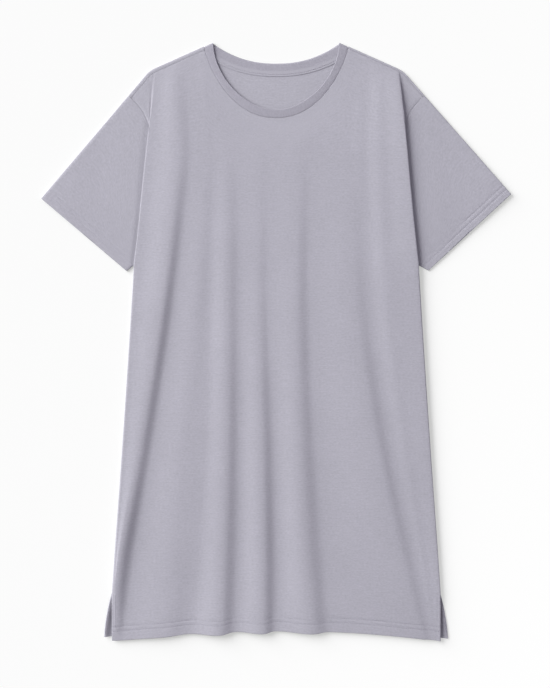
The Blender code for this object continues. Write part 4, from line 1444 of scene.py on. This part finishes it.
def floor_material(studio, toward):
    """A light table's top: its glow makes up for the key light's falloff, so it looks even."""
    material, tree, shader = new_material("floor", {
        "Base Color": (*studio.floor_colour, 1.0), "Roughness": 0.95, "Specular IOR Level": 0.0,
        "Emission Strength": 1.0,
    })
    key = studio.key_strength * toward.z / math.pi
    glow = [
        studio.floor_tone - colour * (key + studio.sky_strength * sky)
        for colour, sky in zip(studio.floor_colour, studio.sky_colour)
    ]
    # The key's light on the floor falls off with the cube of the lamp's distance, so it changes by
    # three times a step's share of that distance.
    level = toward.xy.length
    falloff = studio.floor_colour[0] * key * 3.0 * level / studio.key_distance
    place = put(tree, "ShaderNodeTexCoord").outputs["Object"]
    bearing = (toward.x / level, toward.y / level, 0.0)
    near = put(tree, "ShaderNodeVectorMath", {0: place, 1: bearing}, operation="DOT_PRODUCT")
    more = put(
        tree, "ShaderNodeMapRange",
        {
            "Value": near.outputs["Value"], "From Min": -1.0, "From Max": 1.0,
            "To Min": falloff, "To Max": -falloff,
        },
    )
    light = vector_sums(tree, "ADD", glow, more.outputs[0])
    wire(tree, shader, {"Emission Color": light})
    return material


# ---------------------------------------------------------------- stitching

def path_tree(name, *sizes):
    """A Geometry Nodes group that gets paths, sizes and a material.

    Returns it with its input and output nodes, and the paths as curves.
    """
    inputs = {"Geometry": "Geometry", **dict.fromkeys(sizes, "Float"), "Material": "Material"}
    tree, given, result = new_group(name, "GeometryNodeTree", inputs, {"Geometry": "Geometry"})
    path = put(tree, "GeometryNodeMeshToCurve", {"Mesh": given.outputs["Geometry"]})
    return tree, given, result, path.outputs[0]


def finish_thread(tree, given, result, geometry):
    """Ends a thread's node group: real geometry, shaded smooth, in its material."""
    real = put(tree, "GeometryNodeRealizeInstances", {"Geometry": geometry})
    smoothed = put(tree, "GeometryNodeSetShadeSmooth", {"Geometry": real.outputs[0]})
    coloured = put(
        tree, "GeometryNodeSetMaterial",
        {"Geometry": smoothed.outputs[0], "Material": given.outputs["Material"]},
    )
    tree.links.new(coloured.outputs[0], result.inputs["Geometry"])
    return tree


def stitch_tree():
    """Geometry Nodes: stitches of thread at even steps along paths."""
    if "Stitches" in bpy.data.node_groups:
        return bpy.data.node_groups["Stitches"]
    tree, given, result, path = path_tree("Stitches", "Pitch", "Length", "Thickness")
    even = put(
        tree, "GeometryNodeResampleCurve",
        {"Curve": path, "Length": given.outputs["Pitch"]}, mode="LENGTH",
    )
    bead = put(
        tree, "GeometryNodeMeshUVSphere",
        {"Segments": THREAD_SIDES, "Rings": BEAD_RINGS, "Radius": 0.5},
    )
    thickness = given.outputs["Thickness"]
    size = put(
        tree, "ShaderNodeCombineXYZ",
        {"X": given.outputs["Length"], "Y": thickness, "Z": thickness},
    )
    stitch = put(
        tree, "GeometryNodeTransform", {"Geometry": bead.outputs["Mesh"], "Scale": size.outputs[0]}
    )
    along = put(tree, "GeometryNodeInputTangent")
    turn = put(tree, "FunctionNodeAlignRotationToVector", {"Vector": along.outputs[0]}, axis="X")
    placed = put(
        tree, "GeometryNodeInstanceOnPoints",
        {"Points": even.outputs[0], "Instance": stitch.outputs[0], "Rotation": turn.outputs[0]},
    )
    return finish_thread(tree, given, result, placed.outputs[0])


def thread_tree():
    """Geometry Nodes: round thread along paths."""
    if "Thread" in bpy.data.node_groups:
        return bpy.data.node_groups["Thread"]
    tree, given, result, path = path_tree("Thread", "Thickness")
    radius = sums(tree, "MULTIPLY", given.outputs["Thickness"], 0.5)
    section = put(
        tree, "GeometryNodeCurvePrimitiveCircle", {"Resolution": THREAD_SIDES, "Radius": radius}
    )
    round_thread = put(
        tree, "GeometryNodeCurveToMesh",
        {"Curve": path, "Profile Curve": section.outputs["Curve"], "Fill Caps": True},
    )
    return finish_thread(tree, given, result, round_thread.outputs[0])


def sew(name, paths, slot, tree, **values):
    """Runs thread along paths of points by a node tree with its values, as one plain mesh."""
    guide = bpy.data.meshes.new(name + "_path")
    points, edges = [], []
    for path in paths:
        edges += [(len(points) + step, len(points) + step + 1) for step in range(len(path) - 1)]
        points += [[value * MM for value in point] for point in path]
    guide.from_pydata(points, edges, [])
    holder = bpy.data.objects.new(name + "_path", guide)
    bpy.context.scene.collection.objects.link(holder)
    modifier = holder.modifiers.new("stitches", "NODES")
    modifier.node_group = tree
    values.update({"Thickness": bpy.context.scene.dress_stitching.thread, "Material": thread()})
    for item in tree.interface.items_tree:
        if item.in_out == "INPUT" and item.name in values:
            modifier[item.identifier] = values[item.name]
    evaluated = holder.evaluated_get(bpy.context.evaluated_depsgraph_get())
    mesh = bpy.data.meshes.new_from_object(evaluated)
    mesh.name = name
    bpy.data.objects.remove(holder)
    mesh.materials.clear()
    return make_piece(name, mesh, thread(), slot)


def row_at(y, lift):
    """The front's surface at a height near the hem, raised to where its thread lies."""
    row = with_hem_curve(lower_row(y), y)
    row[:, 2] += lift
    return row[EDGE_COLUMNS:-EDGE_COLUMNS]


def seat():
    """How far the middle of a thread lies above a wall's middle, half sunk in its groove."""
    return WALL / 2 - GROOVE_DEPTH + bpy.context.scene.dress_stitching.thread / MM * GROOVE_SEAT


def hem_stitch_paths():
    """The front's twin-needle rows, and the rows that hold the slits' turned-in edges."""
    paths = [row_at(HEM_Y + up, seat()) for up in HEM_ROWS_UP]
    for side in SIDES:
        path = []
        end = SLIT_TOP[1] - SLIT_ROW_END
        for y in np.linspace(HEM_Y + HEM_ROWS_UP[1], end, SLIT_STITCH_POINTS):
            top = row_at(y, WALL / 2)
            x = side.sign * (side_half_width(y) - SLIT_ROW_IN)
            path.append((x, *(np.interp(x, top[:, 0], top[:, axis]) for axis in (1, 2))))
        paths.append(np.array(path))
    return paths


def back_hem_paths():
    """The back's twin-needle rows, on its underside."""
    paths = []
    for up in HEM_ROWS_UP:
        y = BACK_HEM_Y + up
        start = BACK_ROW_END - back_half_width(RIGHT, y)
        end = back_half_width(LEFT, y) - BACK_ROW_END
        x = np.linspace(start, end, BACK_HEM_STITCH_POINTS)
        z = BACK_Z - WALL / 2 + sum(
            slit_curl(side, y, back_half_width(side, y) - side.sign * x) for side in SIDES
        )
        paths.append(np.stack((x, y - back_hem_drop(x, y), z), axis=1))
    return paths


def overlock_paths(side):
    """Thread over the raw edge of the back's turned-in slit: a zigzag between two rows."""
    stitching = bpy.context.scene.dress_stitching
    above_corner, below_top = OVERLOCK_ENDS
    start, end = side.back_corner[1] + above_corner, SLIT_TOP[1] - below_top
    heights = np.arange(start, end, stitching.pitch / MM / ZIGZAG_TURNS)
    surface = BACK_Z + WALL / 2
    lines = []
    for inward in (SLIT_EDGE_ROW, SLIT_EDGE_ROW + stitching.overlock_width / MM):
        line = []
        for y in heights:
            x = side.sign * (back_half_width(side, y) - inward)
            z = surface + slit_curl(side, y, inward) + stitching.thread / MM * OVERLOCK_SEAT
            line.append((x, y - back_hem_drop(x, y), z))
        lines.append(line)
    zigzag = [lines[step % 2][step] for step in range(len(heights))]
    return [zigzag, *lines]


def cuff_paths(side):
    """A sleeve's twin-needle rows, each on its lower and its upper layer."""
    sleeve = make_sleeve_form(side)
    from_cuff = np.linalg.norm((sleeve.rings - sleeve.rings[-1])[:, :, :2], axis=2)
    layers = [np.flatnonzero(sleeve.inward[:-1, 2] == facing) for facing in (1.0, -1.0)]
    paths = []
    for up in CUFF_ROWS_UP:
        path = np.array([
            [np.interp(up, from_cuff[::-1, column], line[::-1]) for line in sleeve.rings[:, column].T]
            for column in range(sleeve.rings.shape[1])
        ])
        path = (path - sleeve.inward * seat()) * (side.sign, 1.0, 1.0)
        paths += [path[layer] for layer in layers]
    return paths


# ---------------------------------------------------------------- the pieces

class DRESS_OT_back(bpy.types.Operator):
    """Makes the back, which rolls over the shoulders to their seams"""

    bl_idname = "dress.make_back"
    bl_label = "Back"

    def execute(self, context):
        rolls = {side: shoulder_roll(side) for side in SIDES}
        patches = [
            (with_grain(back_rows(rolls)), True),
            (with_grain(rolls[RIGHT]), False),
            (with_grain(rolls[LEFT]), True),
        ]
        mesh = patch_mesh("back_cloth", patches)
        piece = make_piece("back_cloth", mesh, jersey(), "jersey", "back")
        thicken(piece, WALL * MM, 0.0)
        return {"FINISHED"}


class DRESS_OT_sleeves(bpy.types.Operator):
    """Makes the two sleeves, each a flattened tube with its hem turned in"""

    bl_idname = "dress.make_sleeves"
    bl_label = "Sleeves"

    def execute(self, context):
        thickness = context.scene.dress_cloth.thickness
        for side in SIDES:
            sleeve = make_sleeve_form(side)
            mirror = np.array((side.sign, 1.0, 1.0))
            body = with_grain(sleeve.rings * mirror)
            hem = with_grain(np.array([sleeve.rings[-1], *sleeve_hem(sleeve)[::-1]]) * mirror)
            turned = side is RIGHT
            mesh = patch_mesh(side.name + "_cloth", [(body, turned), (hem, turned)])
            piece = make_piece(side.name + "_cloth", mesh, jersey(), "jersey", side.name)
            thicken(piece, thickness, outer_offset(thickness))
        return {"FINISHED"}


class DRESS_OT_front(bpy.types.Operator):
    """Makes the front, with its soft folds, turned-under edges and turned-in hem"""

    bl_idname = "dress.make_front"
    bl_label = "Front"

    def execute(self, context):
        thickness = context.scene.dress_cloth.thickness
        rows, crossing = front_rows()
        under = (len(TURNS) - FOLD_TURN - 1) * ROW_STEPS
        grained = with_grain(rows)
        up, inward = np.array((0.0, 1.0, 0.0)), np.array((0.0, 0.0, -1.0))
        hem = with_grain(hem_rows(rows[0][under:-under], up, inward, HEM_DEPTH), -HEM_DEPTH)
        patches = [
            (np.concatenate((hem, grained[:1, under:-under])), False),
            (grained[:crossing], False),
            (grained[crossing - 1:crossing + 1, under:-under], False),
            (grained[crossing:], False),
        ]
        mesh = patch_mesh("front_cloth", patches)
        piece = make_piece("front_cloth", mesh, jersey(), "jersey", "front")
        thicken(piece, thickness, outer_offset(thickness))
        return {"FINISHED"}


class DRESS_OT_neckband(bpy.types.Operator):
    """Makes the ribbed neckband, once round the neck"""

    bl_idname = "dress.make_neckband"
    bl_label = "Neckband"

    def execute(self, context):
        mesh = patch_mesh("neckband_rib", [(with_grain(band_rings()), False)])
        piece = make_piece("neckband_rib", mesh, rib(), "rib", "neckband")
        thicken(piece, context.scene.dress_cloth.rib_thickness, 0.0)
        return {"FINISHED"}


class DRESS_OT_neck_tape(bpy.types.Operator):
    """Makes the tape over the back neck seam"""

    bl_idname = "dress.make_neck_tape"
    bl_label = "Neck tape"

    def execute(self, context):
        mesh = patch_mesh("neck_tape_cloth", [(with_grain(tape_rows()), False)])
        piece = make_piece("neck_tape_cloth", mesh, tape(), "tape", "neck_tape")
        thicken(piece, TAPE_THICKNESS * MM, 0.0)
        return {"FINISHED"}


class DRESS_OT_stitching(bpy.types.Operator):
    """Sews the hems, the slits, the cuffs and the neck tape"""

    bl_idname = "dress.sew_stitching"
    bl_label = "Stitching"

    def execute(self, context):
        stitching = context.scene.dress_stitching
        lockstitch = {"Pitch": stitching.pitch, "Length": stitching.length}
        sew("hem_stitches", hem_stitch_paths(), "jersey", stitch_tree(), **lockstitch)
        sew("back_hem_stitches", back_hem_paths(), "jersey", stitch_tree(), **lockstitch)
        # The overlock's dark thread is partly painted shade, darkening the slit flaps.
        overlock = [path for side in SIDES for path in overlock_paths(side)]
        sew("slit_overlock", overlock, "jersey", thread_tree())
        for side in SIDES:
            sew(side.name + "_stitches", cuff_paths(side), "jersey", stitch_tree(), **lockstitch)
        tape_paths = [tape_line(down, TAPE_Z + TAPE_THREAD_LIFT) for down in TAPE_ROWS]
        sew("neck_tape_stitches", tape_paths, "tape", stitch_tree(), **lockstitch)
        return {"FINISHED"}


class DRESS_OT_stage(bpy.types.Operator):
    """Makes the floor, the lights and the camera"""

    bl_idname = "dress.make_stage"
    bl_label = "Stage"

    def execute(self, context):
        scene = context.scene
        studio = scene.dress_studio
        toward = Vector((
            math.cos(studio.key_bearing) * math.cos(studio.key_height),
            math.sin(studio.key_bearing) * math.cos(studio.key_height),
            math.sin(studio.key_height),
        ))
        mesh = bpy.data.meshes.new("floor")
        corners = [
            (x * FLOOR_REACH, y * FLOOR_REACH, -FLOOR_DROP)
            for x, y in ((-1, -1), (1, -1), (1, 1), (-1, 1))
        ]
        mesh.from_pydata(corners, [], [(0, 1, 2, 3)])
        mesh.materials.append(floor_material(studio, toward))
        floor = bpy.data.objects.new("floor", mesh)
        scene.collection.objects.link(floor)

        key = bpy.data.lights.new("key", "AREA")
        key.shape = "DISK"
        key.size = 2.0 * studio.key_distance * math.tan(studio.key_softness / 2)
        key.energy = studio.key_strength * math.pi * (studio.key_distance**2 + (key.size / 2) ** 2)
        lamp = bpy.data.objects.new("key", key)
        lamp.location = toward * studio.key_distance
        lamp.rotation_euler = toward.to_track_quat("Z", "Y").to_euler()
        lamp.visible_camera = False
        scene.collection.objects.link(lamp)

        world = bpy.data.worlds.new("studio")
        world.use_nodes = True
        sky = world.node_tree.nodes["Background"]
        sky.inputs["Color"].default_value = (*studio.sky_colour, 1.0)
        sky.inputs["Strength"].default_value = studio.sky_strength
        scene.world = world
        scene.view_settings.view_transform = "Standard"

        lens = bpy.data.cameras.new("camera")
        lens.lens = lens.sensor_width * STUDIO_HEIGHT / VIEW_HEIGHT
        camera = bpy.data.objects.new("camera", lens)
        camera.location = (*VIEW_CENTRE, STUDIO_HEIGHT)
        scene.collection.objects.link(camera)
        scene.camera = camera
        return {"FINISHED"}


MAKERS = (
    DRESS_OT_stage, DRESS_OT_back, DRESS_OT_sleeves, DRESS_OT_front, DRESS_OT_neckband,
    DRESS_OT_neck_tape, DRESS_OT_stitching,
)


class DRESS_PT_panel(bpy.types.Panel):
    """The dress's settings and the steps that make it"""

    bl_idname = "DRESS_PT_panel"
    bl_label = "T-shirt dress"
    bl_space_type = "VIEW_3D"
    bl_region_type = "UI"
    bl_category = "Dress"

    def draw(self, context):
        scene = context.scene
        for group in (scene.dress_cloth, scene.dress_stitching, scene.dress_studio):
            box = self.layout.box()
            for name in group.__annotations__:
                box.prop(group, name)
        for maker in MAKERS:
            self.layout.operator(maker.bl_idname)


SETTINGS = {
    "dress_cloth": DRESS_PG_cloth,
    "dress_stitching": DRESS_PG_stitching,
    "dress_studio": DRESS_PG_studio,
}


def register():
    for kind in (*SETTINGS.values(), *MAKERS, DRESS_PT_panel):
        bpy.utils.register_class(kind)
    for name, kind in SETTINGS.items():
        setattr(bpy.types.Scene, name, PointerProperty(type=kind))


def unregister():
    for name in SETTINGS:
        delattr(bpy.types.Scene, name)
    for kind in reversed((*SETTINGS.values(), *MAKERS, DRESS_PT_panel)):
        bpy.utils.unregister_class(kind)


def main():
    register()
    bpy.ops.dress.make_stage()
    bpy.ops.dress.make_back()
    bpy.ops.dress.make_sleeves()
    bpy.ops.dress.make_front()
    bpy.ops.dress.make_neckband()
    bpy.ops.dress.make_neck_tape()
    bpy.ops.dress.sew_stitching()
    bpy.context.view_layer.update()


if __name__ == "__main__":
    main()
